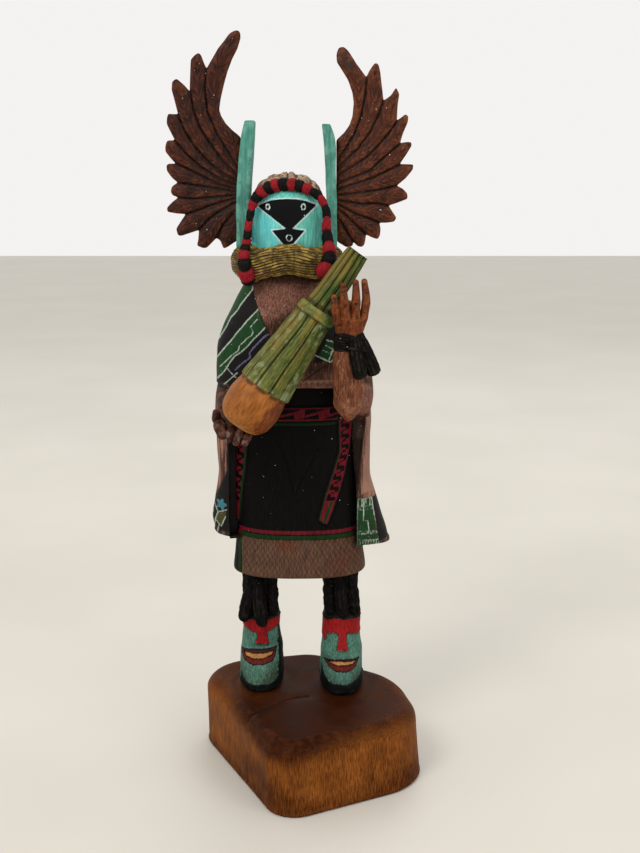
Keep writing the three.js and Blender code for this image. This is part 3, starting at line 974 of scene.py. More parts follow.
@dataclass
class Head(Piece):
    """The case mask with its crown, rope band and ruff."""

    name = "head_and_ruff"
    node = "figure"
    finishes = (MASK_FINISH, CROWN_FINISH, BAND_FINISH, RUFF_FINISH)
    mask: Body = Body(
        places("""
            226,-11.6,16,17.8,18,18 232,-11.6,16,18.6,18.6,19 251,-11.6,16,19,19,19.5 259,-11.6,16,18.4,18.6,19.2
            263.5,-11.6,16,16.6,17.2,17.6 267.5,-11.6,16,13.6,14.6,14.6 270.2,-11.6,16,9.5,10.6,10
            271.8,-11.6,16,4,5,5
        """),
        2.3,
    )
    crown: Body = Body(
        places("""
            226,-11.6,18,19.2,12,19.6 253,-11.6,18,19.6,12.5,20.1 262,-11.6,18,18.9,13.5,20 268,-11.6,18,16.2,13.5,18
            272.5,-11.6,18,12.4,12,14.5 275,-11.6,18,7.5,8,9.5 276,-11.6,18,3,3.5,4
        """),
        2.3,
    )
    ruff: Body = Body(
        places("""
            221.5,-12,14,24,20,21 223.5,-12,14,26.4,21.4,22.4 227,-12,14,28.8,23,24 232,-12,14,29.4,23.6,24.5
            236.5,-12,14,27.8,22.6,23.5 239.8,-12,14,23,20,21
        """),
        2.5,
    )
    figure_shape: Line = places("""
        -26.6,259.2 -20.1,261.9 -15.5,262.5 -11.7,262.7 -7,262.5 -2.4,261.7 3,259.6 -9.3,248 -2.9,247.2 -8.7,240.6
        -13.4,240.2 -19.3,247.2 -12,248
    """)
    rings_drawn: tuple[tuple[Point2, float, float], ...] = (
        ((-21.3, 258.7), 0.95, 1.35), ((-3.6, 258.8), 1, 1.35), ((-10.7, 243.6), 1.45, 1.5)
    )
    rope: Path = places("""
        -31.5,-5.4,223.8 -32.4,-6.8,228 -33.2,-5.8,234.7 -32,-1.6,241.5 -31,-1.2,249.3 -28.9,0.2,259.4 -25,0.6,265.3
        -18.2,0.8,268.9 -11.5,0.8,269.7 -5,0.8,268.8 1.9,0.6,265.5 5.6,0.2,262 7.9,-0.6,256 8,-1.2,249.3 8.4,-2,243.6
        9.3,-4.6,237.4 9.2,-6.3,232.4 7,-7.8,227.6
    """)
    rope_radii: tuple[float, ...] = (
        3.7, 3.3, 2.6, 2.1, 1.85, 1.85, 2.4, 3, 3.2, 3.1, 2.6, 2.1, 1.9, 1.95, 2.4, 2.9, 3.6, 4.2
    )
    bands: tuple[float, ...] = (
        -12, -3.5, 1.1, 7.2, 11.6, 15.6, 18.8, 22.5, 27.2, 32.2, 37.7, 41.6, 45.6, 49.6, 52.9, 57.2, 61.2, 65.2, 68.8,
        73.9, 78.9, 84.4, 90.2, 97.1, 103.2, 108.3, 114.8, 128
    )
    strand_gap: float = 1.45

    def mask_form(self) -> Form:
        """Makes the mask with its painted face."""
        form = self.mask.carve(0.72, 210, density=2.4)
        chisel(form, 0.12, 8, 31)
        view = form.front_view
        front = np.where(form.y > 9, FAR, -FAR)
        figure = shape_distance(view, self.figure_shape)
        outline = np.abs(figure - 0.4) - 0.36
        for middle, half, tall in self.rings_drawn:
            spread = np.hypot((form.x - middle[0]) / half, (form.z - middle[1]) / tall)
            outline = any_of(outline, (np.abs(spread - 1) * half) - 0.27)
        form.paint("black", np.maximum(figure, front))
        form.paint("white", np.maximum(outline, front))
        edge = 16.4 - np.abs(form.x + 11.6)
        form.paint("shade", any_of(both(edge, 241 - form.z), 266.6 - form.z))
        # Painted light: the mask's right side is painted lighter and bluer.
        form.paint("cool", form.x + 16 + 0.25 * (form.z - 250))
        return form

    def crown_form(self) -> Form:
        """Makes the crown, scalloped on top and plain behind."""
        form = self.crown.carve(0.8, 190, 1, density=1)
        top = ramp(form.z, 258, 264)
        valleys = bump(form.x + 16, 1.1) + bump(form.x + 7.2, 1.1)
        valleys = valleys + 0.7 * bump(form.x + 23, 0.8) + 0.7 * bump(form.x - 0.4, 0.8)
        parting = bump(form.x + 11.6, 0.45)
        round_about = np.arctan2(form.y - 17, form.x + 11.6)
        locks = np.abs(np.sin(round_about * 9 + 0.6 * np.sin(form.z * 0.5)))
        fluff = 0.14 * form.wobble(1.9, 41) + 0.16 * form.wobble(4.5, 42)
        form.push(top * (-1.2 * valleys - 0.9 * parting + fluff) - 0.3 - (1 - top) * 0.3 * (1 - locks))
        # Painted shade in the parting.
        form.fields["groove"] = top * parting
        form.finish = np.where(form.points[form.faces[:, 0], 2] > 259.5, 1, 0)
        return form

    def band_form(self) -> Form:
        """Makes the rope band of two strands that lie round each other."""
        form = limb(self.rope, self.rope_radii, 52, 0.36, 2)
        turns = np.arange(len(self.bands)) - 1.5
        turns[0], turns[-1] = turns[1] - 0.5, turns[-2] + 0.5
        lay = np.interp(form.stroke[:, 2], self.bands, turns * math.pi) + 0.75 * (np.sin(form.angle) - 1)
        strand = np.abs(np.sin(lay))
        reach = np.hypot(form.stroke[:, 0], form.stroke[:, 1])
        form.push(0.08 * reach - 0.26 * reach * (1 - strand) ** 2.6 + 0.09 * form.wobble(1.6, 45))
        form.paint("red", -1.5 * np.sin(lay))
        # Painted shade between the strands.
        form.fields["groove"] = 0.5 * (1 - ramp(strand, 0, 0.3))
        return form

    def ruff_form(self) -> Form:
        """Makes the ruff of bound strands."""
        form = self.ruff.carve(0.36, 330, 3, density=1.5, rounding=(1.6, 1.4))
        turn = np.arctan2(form.y - 14, form.x + 12)
        front = ramp(-form.y, -9, 1)
        form.points[:, 2] = 231.5 + (form.z - 231.5) * (1 - 0.12 * front)
        shift = 2.2 * bump(form.x + 11, 10) - 1.9 * bump(form.x + 30, 6)
        form.points[:, 2] += front * (shift - 0.9 * bump(form.x - 8, 6))
        level = form.z - front * shift + 0.2 * np.sin(turn * 3 + 0.5) + 0.12 * np.sin(turn * 11 + form.z * 0.4)
        level = level + 0.55 * wobble(form.points * (0.5, 0.5, 1), 6, 51)
        strand = np.abs(np.sin(level * math.pi / self.strand_gap))
        finer = np.abs(np.sin((level * 2.3 + 1.5 * np.sin(turn * 5)) * math.pi / self.strand_gap))
        bound = bump(np.sin(turn * 7 + 0.4), 0.12) * 0.2
        depth = 0.5 + 0.5 * ramp(wobble(form.points * (0.25, 0.25, 1), 4, 54), -0.8, 0.6)
        form.push(-0.2 - 0.6 * depth * (1 - strand) ** 1.5 - 0.2 * (1 - finer) - bound + 0.2 * form.wobble(5, 52))
        # Painted shade in the grooves between the strands.
        form.fields["groove"] = 0.95 * depth * (1 - ramp(strand, 0.05, 0.5))
        form.paint("rust", 2 - 4.5 * form.wobble(12, 53) + 0.3 * (form.z - 226))
        return form

    def form(self) -> Form:
        """Joins mask, crown, band and ruff."""
        return gather([self.mask_form(), self.crown_form(), self.band_form(), self.ruff_form()])


# Chest and robe


def front_only(form: Form, shape: Array, limit: float = 20) -> Array:
    """Keeps painted shapes seen from the front off the back."""
    return np.where(form.y > limit, FAR, shape)


ROBE_FINISH = Finish(
    "pink_brown_robe", "583126", "8a5f4e", streak=(0.45, 0.45, 4.5), contrast=(0.36, 0.66),
    coats=(
        Coat("brown", "44261a", "2e1810", ragged=1, soft=1.6, thin=0.3), Coat("black", "0e0c0b", "080707"),
        Coat("green", "1a451f", "0f3013", ragged=0.35), Coat("olive", "4c4a24", "38361a"),
        Coat("blue", "4a8c98", "2f6a78", ragged=0.5), Coat("lavender", "726c8c", "585470", ragged=0.3),
        Coat("white", "b4c0b0", "8c998a", ragged=0.25, soft=0.12),
        Coat("pale", "b48c78", "946c58", ragged=0.6, soft=0.5, thin=0.7)
    ), blotch=13, blotched=0.45, worn="a88070", wear=0.35, specks=0.12, rough=(0.55, 0.75), reach=0.14
)


def hairs(view: Array, seed: int, count: int, xs: Pair, zs: Pair, lean: float) -> Array:
    """Draws short fine strokes.

    Args:
        view: places, two numbers each.
        seed: number of the random draw.
        count: how many strokes there are.
        xs: lowest and highest x of their lower ends.
        zs: lowest and highest z of these.
        lean: how far they lean at most.

    Returns:
        Their field.
    """
    draw = np.random.default_rng(seed)
    strokes = []
    for _ in range(count):
        x, z = draw.uniform(*xs), draw.uniform(*zs)
        way, reach = draw.uniform(-lean, lean), draw.uniform(1.5, 4.5)
        strokes.append(((x, z), (x + reach * math.sin(way), z + reach * math.cos(way))))
    return stripes(view, 0.1, *strokes)


@dataclass
class Robe(Piece):
    """The chest and the robe worn over the right shoulder, with its two hanging sides."""

    name = "chest_and_robe"
    node = "figure"
    finishes = (ROBE_FINISH,)
    crease = 40
    chest: Body = Body(
        places("""
            229,-11.5,18,18,15,15 220,-12,18,22.5,19,17 210,-12.5,18,27.5,22.5,19 204,-12.8,18,30.2,24,20
            197,-13,18,33,24.6,21.5 189,-12.6,18,36.2,25,22.5 179,-11.2,18,38.6,25,23.5 168,-9.8,18,40.2,24,24.5
        """)
    )
    drape: Body = Body(
        places("""
            170,-10,18,39.6,24,24.3 151,-9.6,18,42,23,25.5 121,-9,18,41.2,22,26 111,-8.2,18,43,22,26.5
            101,-7.5,18,45.3,22,27.5 91,-6.5,18,47.5,22,28.5 80,-5.4,18,48.4,22,29 74,-5.2,18,48.4,22,29
        """)
    )
    opening_right: Line = places("170,-36 168,-36 140,-43 95,-43 60,-41")
    opening_left: Line = places("170,27 168,27 150,28 135,26.4 119,24.8 100,23.8 60,24.2")
    top: float = 169.5
    hem_right: float = 88
    hem_left: float = 79.4
    opening_depth: float = 9.5
    flap: Line = places("""
        -29.6,221 -28.6,215.1 -27.2,210.7 -26,207.3 -24.4,203.3 -22.6,199.3 -20.6,195.2 -15,184 -12,177
    """)
    sleeve: Path = places("12,16,194 19.6,9,180 24,4,166 27,10.5,152")
    sleeve_radii: tuple[float, ...] = (8.8, 10.6, 8.6, 4.5)

    def border(self, form: Form) -> None:
        """Paints the diagonal border over the right shoulder.

        Args:
            form: the chest or the robe, whose fields are filled.
        """
        view = form.front_view
        first = places("-29.5,219 -29.5,217.4 -33.2,212.8 -35.9,209.4 -37.2,207 -41.1,202.7 -43.6,197.7 -48,191")
        second = places("-24.5,210.4 -26.7,207.7 -32.3,202 -34.9,198.8 -37.3,196.1 -40.6,191.7 -43.7,188.3 -49,181.5")
        third = places("""
            -21.6,200.3 -23.4,198.5 -25.7,196.1 -29.9,191.9 -32.6,188.7 -35.8,185.9 -39.1,183.6 -41.9,179.6
            -44.4,175.6 -49,170.5
        """)
        region = (*self.flap, (-40, 166), (-60, 166), (-60, 232), (-30, 232))
        inside = shape_distance(view, region)
        green_outer = shape_distance(view, (*first, (-60, 191), (-60, 232), (-30, 232)))
        green_inner = shape_distance(view, (*second, *reversed(third)))
        step = places("""
            -26.7,203.2 -28.3,201.7 -30.4,199.1 -29.1,197.1 -29.6,195 -32.3,193.4 -34.2,191.2 -36.3,189.5 -36.9,186.9
            -40.7,183.9 -42.9,181.6 -47,177.5
        """)
        lavender = places("""
            -19.6,197 -21.1,195.7 -23.7,194.2 -25.8,192 -27.9,189.9 -31,186.2 -30.8,183.6 -35.9,179.6 -38.6,176.8
        """)
        crossing = (places("-43.5,177.8 -39.8,174 -37.4,172.2"), places("-44.8,168.6 -40.9,172.2 -37.5,175.4"))
        lines = any_of(
            stripes(view, 0.33, first, second, third), stripes(view, 0.27, step), stripes(view, 0.3, *crossing)
        )
        form.paint("black", front_only(form, inside, 30))
        form.paint("green", both(front_only(form, any_of(green_outer, green_inner), 24), inside + 0.4))
        form.paint("white", both(front_only(form, lines, 22), inside))
        form.paint("lavender", both(front_only(form, stripes(view, 0.4, lavender), 22), inside))
        form.push(-0.45 * bump(line_distance(view, self.flap[3:]), 0.6) * (form.y < 16))

    def patch(self, form: Form) -> None:
        """Paints the bit of border that shows beside the gourd's leaves.

        Args:
            form: the chest, whose fields are filled.
        """
        view = form.front_view
        black = shape_distance(view, places("1,181 9.8,181.4 14.5,184 16.5,205 9,206.5 3,192"))
        green = shape_distance(view, places("3.4,184 8.3,191.9 14.6,189.4 12.6,183.6 9.8,181.6"))
        line = any_of(
            stripes(view, 0.4, places("8.3,192.4 15,189.8 12.8,183.2 9.8,181.2 2.4,184.9")),
            stripes(view, 0.3, places("7.5,189.7 11.4,187.5 9.3,182.4")),
            stripes(view, 0.25, places("6,187.4 9,186 12.6,186.6"))
        )
        for name, shape in (("black", black), ("green", green), ("white", line)):
            form.paint(name, front_only(form, shape, 10))

    def chest_form(self) -> Form:
        """Makes the chest with the upper part of the robe."""
        form = self.chest.carve(0.75, 330, span=(167.6, 228.5), rounding=(0.9, 1), density=1.9)
        chisel(form, 0.22, 10, 61)
        self.border(form)
        self.patch(form)
        view = form.front_view
        edge = line_distance(view, places("-25.2,209.7 -20,207.4 -13.3,204.4 -6,201"))
        crease = line_distance(view, places("-4,171.5 -1.1,173.8 3.1,176.9 9.3,180.4"))
        strokes = hairs(view, 62, 90, (-30, 14), (169, 221), 0.5)
        hem = both(170.8 + 0.5 * np.sin(form.x * 2.1) - form.z, form.z - 172, np.abs(form.x - 3) - 12)
        pale = front_only(form, any_of(strokes, edge - 0.22, hem), 12)
        form.paint("pale", both(pale, -np.minimum(form.fields["black"], FAR) - 0.2))
        form.push(-(0.4 * bump(edge, 0.5) + 0.45 * bump(crease, 0.5)) * (form.y < 10))
        # Painted shade in the carved crease.
        form.fields["groove"] = 0.7 * bump(crease, 0.45) * (form.y < 10)
        # Brown: uneven darker patches, and painted shade in a band just under the ruff.
        form.paint(
            "brown", 3 + 3 * ramp(form.y, 12, 28) - 5 * form.wobble(17, 63),
            220.5 + 2 * form.wobble(9, 64) - form.z + FAR * (form.z < 214)
        )
        return form

    def robe_form(self) -> Form:
        """Makes the two hanging sides and the back of the robe."""
        around_outer, wall, inner = 330, 14, 26
        levels = np.linspace(0, 1, 118)
        low = 0.5 * (self.hem_right + self.hem_left)
        z = self.top - levels * (self.top - low)
        rows = self.drape.rows(z)
        flat = self.drape.outline(rows, 1200, 1)
        right = smooth(*zip(*sorted(self.opening_right)), z)
        left = smooth(*zip(*sorted(self.opening_left)), z)
        rings = []
        for i, height in enumerate(z):
            ring = flat[i]
            front = ring[:, 1] < self.opening_depth
            open_part = front & (ring[:, 0] > right[i]) & (ring[:, 0] < left[i])
            first = int(np.argmax(open_part))
            last = len(ring) - int(np.argmax(open_part[::-1]))
            outer = evenly(np.concatenate([ring[last:], ring[:first]]), around_outer)
            corners = (outer[-1], (right[i], self.opening_depth), (left[i], self.opening_depth), outer[0])
            ends = np.array(corners)
            parts = [outer]
            for start, end, count in zip(ends[:-1], ends[1:], (wall, inner, wall)):
                shares = np.linspace(0, 1, count + 2)[1:-1]
                parts.append(start + shares[:, None] * (end - start))
            ring = np.concatenate(parts)
            hem = self.hem_right + (ring[:, 0] + 70) / 140 * (self.hem_left - self.hem_right)
            share = (self.top - height) / (self.top - low)
            rings.append(np.column_stack([ring, self.top - share * (self.top - hem)]))
        form = skin(capped(np.array(rings[::-1])))
        x, y, z = form.points.T.copy()
        behind = ramp(y, 14, 30)
        turn = np.arctan2(y - 18, x + 9)
        folds = np.sin(turn * 9 + 0.9 * np.sin(z / 23)) * ramp(-z, -165, -120)
        form.push(-0.5 + behind * 0.5 * (folds - 1) + 0.18 * (form.wobble(11, 71) - 1))
        low_right = ramp(-x, 38, 52) * ramp(-z, -97, -84)
        form.points[:, 0] += 1.6 * low_right * ramp(-x, 48, 54)
        self.border(form)
        view = form.front_view
        on_right = only(x < -10)
        on_left = only(x > 15)
        lower = line_distance(view, places("-70,96 -50.5,108.1 -47.6,114.9 -44.5,121.4 -36,131"))
        lower_side = shape_distance(view, places("-70,98 -50.5,108.1 -44.5,121.4 -36,131 -36,60 -70,60"))
        right = smooth(*zip(*sorted(self.opening_right)), z)
        form.paint(
            "black", both(front_only(form, lower_side, 30), on_right),
            both(shape_distance(view, places("32.1,107.2 37.5,106.8 50,106 50,78 36.6,78")), on_left),
            both(right - 1.3 - x, only((y < 12) & (x < -10)))
        )
        flower_x, flower_z = x + 48, z - 103.6
        petals = np.hypot(flower_x, flower_z) - 2.6 - 0.8 * np.cos(5 * np.arctan2(flower_z, flower_x))
        form.paint("blue", both(0.8 * petals, front_only(form, on_right, 16)))
        leaf = shape_distance(view, places("-49.2,98.6 -44.7,100.4 -45.2,97.2 -47.8,91.8 -50.8,94.5"))
        form.paint("olive", both(leaf, front_only(form, on_right, 16)))
        rows_right = tracks("""
            -51.8,102.8 -49.4,98.9 -44.4,101.3 / -49.6,98.9 -51.2,94.6 -47.8,91.6 -45.4,97.2 / -52.6,98.5 -54,93.4 /
            -51,95.2 -52.2,89.6 / -48.8,92.6 -50.6,86.6
        """)
        line_right = stripes(view, 0.3, *rows_right)
        green = shape_distance(view, places("23.4,107.6 32.1,107.2 36.6,78 23,78"))
        rows_left = tracks("""
            24.3,107.8 24.3,80 / 32.1,107.2 33.4,98.3 35.3,90.4 36.6,82 / 24.2,107.2 32.2,106.8 / 24.2,103.4 32.4,103
            / 24.2,101.9 32.6,101.4 / 27.9,107 27.6,95.8 29.9,95.4 30.7,90.2 / 24.2,90.1 35.2,89.2 / 24.2,88.6
            35.4,87.8 / 24.2,85.6 36,84.5 / 24.4,82.2 36.4,82
        """)
        bars = both(np.abs(np.mod(x, 1.5) - 0.75) - 0.22, np.abs(z - 83.6) - 1.1)
        bars = any_of(bars, both(np.abs(np.mod(x + 0.4, 2.2) - 1.1) - 0.25, np.abs(z - 105.1) - 1.8))
        line_left = any_of(bars, stripes(view, 0.3, *rows_left))
        form.paint("green", both(green, front_only(form, on_left, 14)))
        form.paint(
            "white", both(line_right, front_only(form, on_right, 18)),
            both(line_left, green - 0.2, front_only(form, on_left, 14))
        )
        # Painted shade: the inner strip of the left drape and the wall of the opening beside the dress are dark
        # brown; elsewhere brown makes uneven patches.
        strip = shape_distance(view, places("20,172 27.6,172 27.9,150.1 26.8,135.5 25.4,120 24.5,110 20,108"))
        shaded_inner_wall = np.where((x > 15) & (y < 8) & (x < 28.5), np.abs(x - 25.6) - 2.2, FAR)
        form.paint("brown", both(any_of(strip, shaded_inner_wall), on_left), 3.4 + 3 * behind - 5.5 * form.wobble(19, 73))
        # Pale: painted light on the front strip of the left drape, and pale hair streaks over the front.
        pale = shape_distance(view, places("28.4,170 33.5,170 33.5,130 37,109 25.2,109 27.6,140"))
        streaky = 2 - 2.4 * np.abs(wobble(np.stack([x * 3, z * 0.12], axis=1), 5, 74))
        lit = both(any_of(pale + 1.6 * np.abs(np.sin(x * 2.3 + z * 0.06)), streaky), only(y < 16))
        form.paint("pale", both(lit, -any_of(*[form.fields[name] for name in ("black", "green", "white")])))
        form.fields["groove"] = 0.6 * bump(lower, 0.5) * (x < -10) * (y < 20)
        return form

    def sleeve_form(self) -> Form:
        """Makes the left sleeve that comes down from the shoulder."""
        form = chisel(limb(self.sleeve, self.sleeve_radii, 110, 0.8), 0.3, 11, 75)
        streaks = wobble(np.stack([form.x * 3, form.z * 0.15], axis=1), 5, 76)
        form.paint("pale", 0.1 + 2.4 * np.abs(streaks))
        form.paint("brown", 2.6 - 5 * form.wobble(15, 77))
        return form

    def form(self) -> Form:
        """Joins the chest, the robe and the sleeve."""
        return gather([self.chest_form(), self.robe_form(), self.sleeve_form()])


# Dress, belt and sash

DRESS_FINISH = Finish(
    "black_dress", "070606", "0e0d0c", streak=(0.5, 0.5, 6),
    coats=(
        Coat("hatch", "664a3a", "4a362b", ragged=0.3),
        Coat("rust", "6a3a26", "4c2a1d", ragged=2, soft=3, thin=0.5, within="hatch"),
        Coat("cross_up", "2c201a", "33251e", 0.1, 0.14, 0.35, 2.7, 0.16, "hatch"),
        Coat("cross_down", "2c201a", "33251e", 0.1, 0.14, 0.35, 2.7, 0.16, "hatch"),
        Coat("red", "6c1722", "4e1019", ragged=0.3), Coat("green", "193516", "112610", ragged=0.3),
        Coat("mark", "0a0909", "070606", ragged=0.3)
    ), blotch=16, blotched=0.25, hollow_shade="030302", worn="2c2724", wear=0.2, specks=0.1, rough=(0.5, 0.7), reach=0.1,
    gloss=0.05
)


@dataclass
class Dress(Piece):
    """The black dress with its belt, sash ends and hatched hem."""

    name = "dress_and_sash"
    node = "figure"
    finishes = (DRESS_FINISH,)
    body: Body = Body(
        places("""
            172,-9,18,29,20.5,20 151,-9,18,31,21.5,21 136,-8.6,18,32,22.5,21.6 111,-7.6,18,33,23.6,22.4
            91,-7,18,34,24.6,23.2 76,-6.5,18,35.6,25.5,24.2 67,-6.4,18,36.6,26,25 65.5,-6.4,18,36.4,25.8,25
        """)
    )
    belt: Pair = (150.2, 157.4)
    sash_left: Line = places("""
        13.9,152 22.6,152 21.4,141 20.4,133 18,122 15.2,111.5 10.8,99.5 8.6,94.3 3.6,97.9 7,110.9 10.4,122 14.3,134
    """)
    sash_right: Line = places("""
        -39,150 -31,150 -32.4,140 -34.4,122 -36.6,104 -37.8,94.2 -41.2,94 -41.2,104 -40.6,121
    """)

    def marks(self, form: Form, middle: Sequence[Point2], pitch: float, half: float) -> Array:
        """Draws the stepped dark marks down the middle of a sash end.

        Args:
            form: the dress.
            middle: line down the middle of the sash end.
            pitch: height of one mark.
            half: half the width of a mark.

        Returns:
            The field of the marks.
        """
        side = form.x - np.interp(form.z, *zip(*[(z, x) for x, z in reversed(middle)]))
        step = np.floor(np.mod(form.z, pitch) / pitch * 6)
        shift = (np.abs(step - 2.5) - 1.5) * half * 0.5
        zigzag = np.abs(side - shift) - half * 0.27
        teeth = both(
            np.abs(np.mod(form.z + pitch * 0.3, pitch) - pitch / 2) - pitch * 0.16, np.abs(side) - half * 0.72
        )
        return any_of(zigzag, teeth)

    def form(self) -> Form:
        """Makes the dress."""
        form = self.body.carve(0.62, 370, span=(65.5, 171), rounding=(1.4, 0.8), density=2.4)
        view = form.front_view
        x, z = form.x.copy(), form.z.copy()
        front = only(form.y < 17)
        creases = stripes(
            view, 0, places("-16.5,138 -12.6,127.1 -10,116.8 -8.8,110"),
            places("4,135.5 -1.1,125.7 -5.9,116.8 -7.8,111")
        ) + np.where(form.y < 10, 0, FAR)
        left, right = shape_distance(view, self.sash_left), shape_distance(view, self.sash_right)
        sash = both(any_of(left, right), front)
        low, high = self.belt
        belt = np.abs(z - 0.5 * (low + high)) - 0.5 * (high - low)
        turn = np.arctan2(form.y - 18, x + 9)
        folds = ramp(form.y, 20, 32) * (np.sin(turn * 8) - 1) * 0.45
        lift = 0.95 * ramp(-sash, -0.35, 0.3) + ramp(-belt, -0.4, 0.4) * (1 - ramp(-sash, -0.3, 0.3))
        hem = -0.25 * ramp(86.8 - z, -0.3, 0.3)
        form.push(-0.6 + lift + folds + hem - 0.55 * bump(creases, 0.9) + 0.16 * form.wobble(12, 81))
        # Painted shade in the creases.
        form.fields["groove"] = 0.5 * bump(creases, 0.7)
        around = np.arctan2(form.y - 14, x + 7) * 34
        sideways = -37.5 - x + np.where(form.y > 12, -FAR, 0)
        form.paint("hatch", both(z - 87.2, sideways))
        form.paint("cross_up", (around + z * 0.85) * 0.77)
        form.paint("cross_down", (around - z * 0.85) * 0.77)
        form.paint("rust", 3 - 0.12 * x - 5 * form.wobble(14, 82))
        cord_red = any_of(
            both(np.abs(z - 91.3) - 0.95, sideways - 1.2),
            both(stripes(view, 0.8, places("-36,91.3 -38.4,89.6 -39.4,86.5")), front)
        )
        cord_green = any_of(
            both(np.abs(z - 88.6) - 1.15, sideways - 0.2),
            both(stripes(view, 0.75, places("-36.6,88.6 -38,86.8 -38.7,82 -38.9,66")), front)
        )
        sash_middle_left = places("17.5,152 17.3,133.5 14.2,122 11.1,111.2 6.1,96")
        sash_middle_right = places("-35.8,150 -37.6,121.5 -39.6,94")
        green_edge = any_of(
            both(np.abs(left + 0.45) - 0.4, x - np.interp(z, [94, 111, 134, 152], [6, 11.2, 17.3, 17.5])),
            both(np.abs(right + 0.9) - 0.8, np.interp(z, [94, 121, 150], [-38.6, -36.4, -33.5]) - x),
            stripes(view, 0.8, places("10.6,107 6.9,97"))
        )
        form.paint(
            "green", cord_green, both(np.abs(z - 148.8) - 0.8, only(form.y < 14), -sash), both(green_edge, front)
        )
        form.paint("red", cord_red, sash + 0.9, both(belt + 0.2, -sash + 0.3))
        upper, lower = np.mod(x + 3, 12.5), np.mod(-x + 4, 12.5)
        triangles = any_of(both(z - 156.5, 153.4 + 0.26 * upper - z), both(151.2 - z, z - 153.8 + 0.22 * lower))
        form.paint(
            "mark", both(triangles, z - 157, belt + 0.8, -sash + 0.4),
            both(self.marks(form, sash_middle_left, 5.4, 3.3), left + 1.4, 108 - z, front),
            both(self.marks(form, sash_middle_right, 6.2, 2.6), right + 1.2, 104 - z, front),
            both(np.abs(sash + 0.1) - 0.25, front)
        )
        return form


# Legs and moccasins

STOCKING_FINISH = Finish(
    "black_yarn", "070606", "12100e", streak=(0.7, 0.7, 3), blotch=5, blotched=0.3, worn="2e2925", wear=0.35,
    specks=0.15, rough=(0.65, 0.85), reach=0.2, gloss=0.05
)
SHOE_FINISH = Finish(
    "teal_moccasins", "3b5f53", "5b8877", streak=(0.6, 0.6, 3.5), contrast=(0.34, 0.66),
    coats=(
        Coat("worn", "44523f", "303b31", ragged=2, soft=4.5, thin=0.2), Coat("rust", "6a2420", "4c1917", ragged=0.3),
        Coat("plum", "3a2028", "2c181e", ragged=0.25), Coat("ochre", "b8854a", "96683a", ragged=0.25),
        Coat("dark", "20100e", "160b0a", ragged=0.3), Coat("red", "a32022", "7c1619", ragged=0.35),
        Coat("sole", "0f1110", "090b0a", ragged=0.6, soft=0.3)
    ), blotch=6, blotched=0.4, worn="7aa596", wear=0.03, rough=(0.5, 0.7), reach=0.12, gloss=0.06
)


@dataclass
class Leg:
    """One leg in its black stocking, with tassels and a moccasin."""

    x: float
    toe: float
    tassels: tuple[Limb, ...]
    band: Line
    tongue: Line
    moon: Line
    moon_light: Line
    sole: Line
    y: float = 17
    strip: float = FAR
    tab: Line = ()

    def stocking(self) -> Form:
        """Makes the stocking with its yarn."""
        x, y = self.x, self.y
        body = Body(
            (
                (35, x, y, 9.4, 9, 9.2), (40, x, y, 9.6, 9.4, 9.4), (48, x - 0.4, y, 9.7, 9.7, 9.5),
                (58, x - 0.5, y, 9.7, 9.8, 9.7), (70, x - 0.6, y, 10.3, 10.1, 10.1)
            ), 2.2
        )
        form = body.carve(0.8, 110, rounding=(1.5, 0.3), density=1.4)
        yarn = np.sin(np.arctan2(form.y - y, form.x - x) * 13 + 0.5 * np.sin(form.z * 0.4))
        return form.push(0.22 * yarn - 0.3 + 0.25 * form.wobble(3.5, 91) + 0.2 * form.wobble(1.8, 92))

    def tassel_forms(self) -> list[Form]:
        """Makes the hanging yarn tassels."""
        forms = []
        for i, (path, radii) in enumerate(self.tassels):
            form = limb(path, radii, 40, 0.6, 0, flat=0.85)
            strands = np.sin(form.angle * 8 + 0.3 * i)
            forms.append(form.push(0.2 * strands - 0.1 + 0.2 * form.wobble(2.2, 95 + i)))
        return forms

    def shoe(self) -> Form:
        """Makes the moccasin with its painted pieces."""
        x, y, toe = self.x, self.y, self.toe
        body = Body(
            (
                (0, x, y, 11, toe - 0.6, 13), (2, x, y, 11.9, toe, 13.6), (5, x, y, 12, toe - 0.2, 13.6),
                (10, x, y, 12, toe - 1.8, 12.8), (16, x, y, 11.9, toe - 5.4, 11.6), (24, x, y, 11.1, toe - 9.6, 10.6),
                (33, x, y, 10.1, 10.4, 10), (36, x, y, 10.3, 10.2, 10.2), (40.3, x, y, 10.1, 10, 10)
            ), 2.3
        )
        form = body.carve(0.48, 210, 1, rounding=(0.9, 1.2), density=2.2)
        view = form.front_view
        near = only(form.y < self.y + 1)
        band = np.interp(form.x, *zip(*self.band)) - form.z
        behind = both(np.abs(form.z - 35.6) - 2.4, only(form.y > self.y - 2))
        pieces = [both(shape_distance(view, shape), near) for shape in (self.tongue, self.tab) if shape]
        red = any_of(both(band, near), behind, *pieces)
        moon = both(shape_distance(view, self.moon), near)
        light = both(shape_distance(view, self.moon_light), near)
        upper = both(moon, np.interp(form.x, *zip(*self.moon_light[:4])) + 0.55 - form.z)
        outline = any_of(np.abs(moon + 0.1) - 0.32, np.abs(light) - 0.34, both(np.abs(red - 0.15) - 0.2, near))
        sole_line = np.interp(form.x, *zip(*sorted(self.sole)))
        sole = any_of(
            both(form.z - sole_line, only(form.y < 8)), 38.4 + 0.5 * form.wobble(5, 99) - form.z,
            both(self.strip - (form.x - self.x), form.z - 33.5, only(form.y < 30)),
            both(form.z - 5.5 - 0.8 * np.sin(form.y * 0.5), only(form.y >= 8))
        )
        form.push(
            0.5 * ramp(-red, -0.3, 0.3) - 0.35 + 0.45 * ramp(-sole, -0.3, 0.3) * (form.z < 39) + 0.14
            * form.wobble(6, 97)
        )
        # The coat called worn paints the lower part of the moccasin greyer and darker.
        worn = 0.4 * (form.z - 11) - 1.8 * form.wobble(9, 98)
        names = ("red", "rust", "plum", "ochre", "dark", "worn", "sole")
        for name, shape in zip(names, (red, moon, upper, light, outline, worn, sole)):
            form.paint(name, shape)
        return form

    def forms(self) -> list[Form]:
        """Makes all forms of the leg."""
        return [self.stocking(), *self.tassel_forms(), self.shoe()]


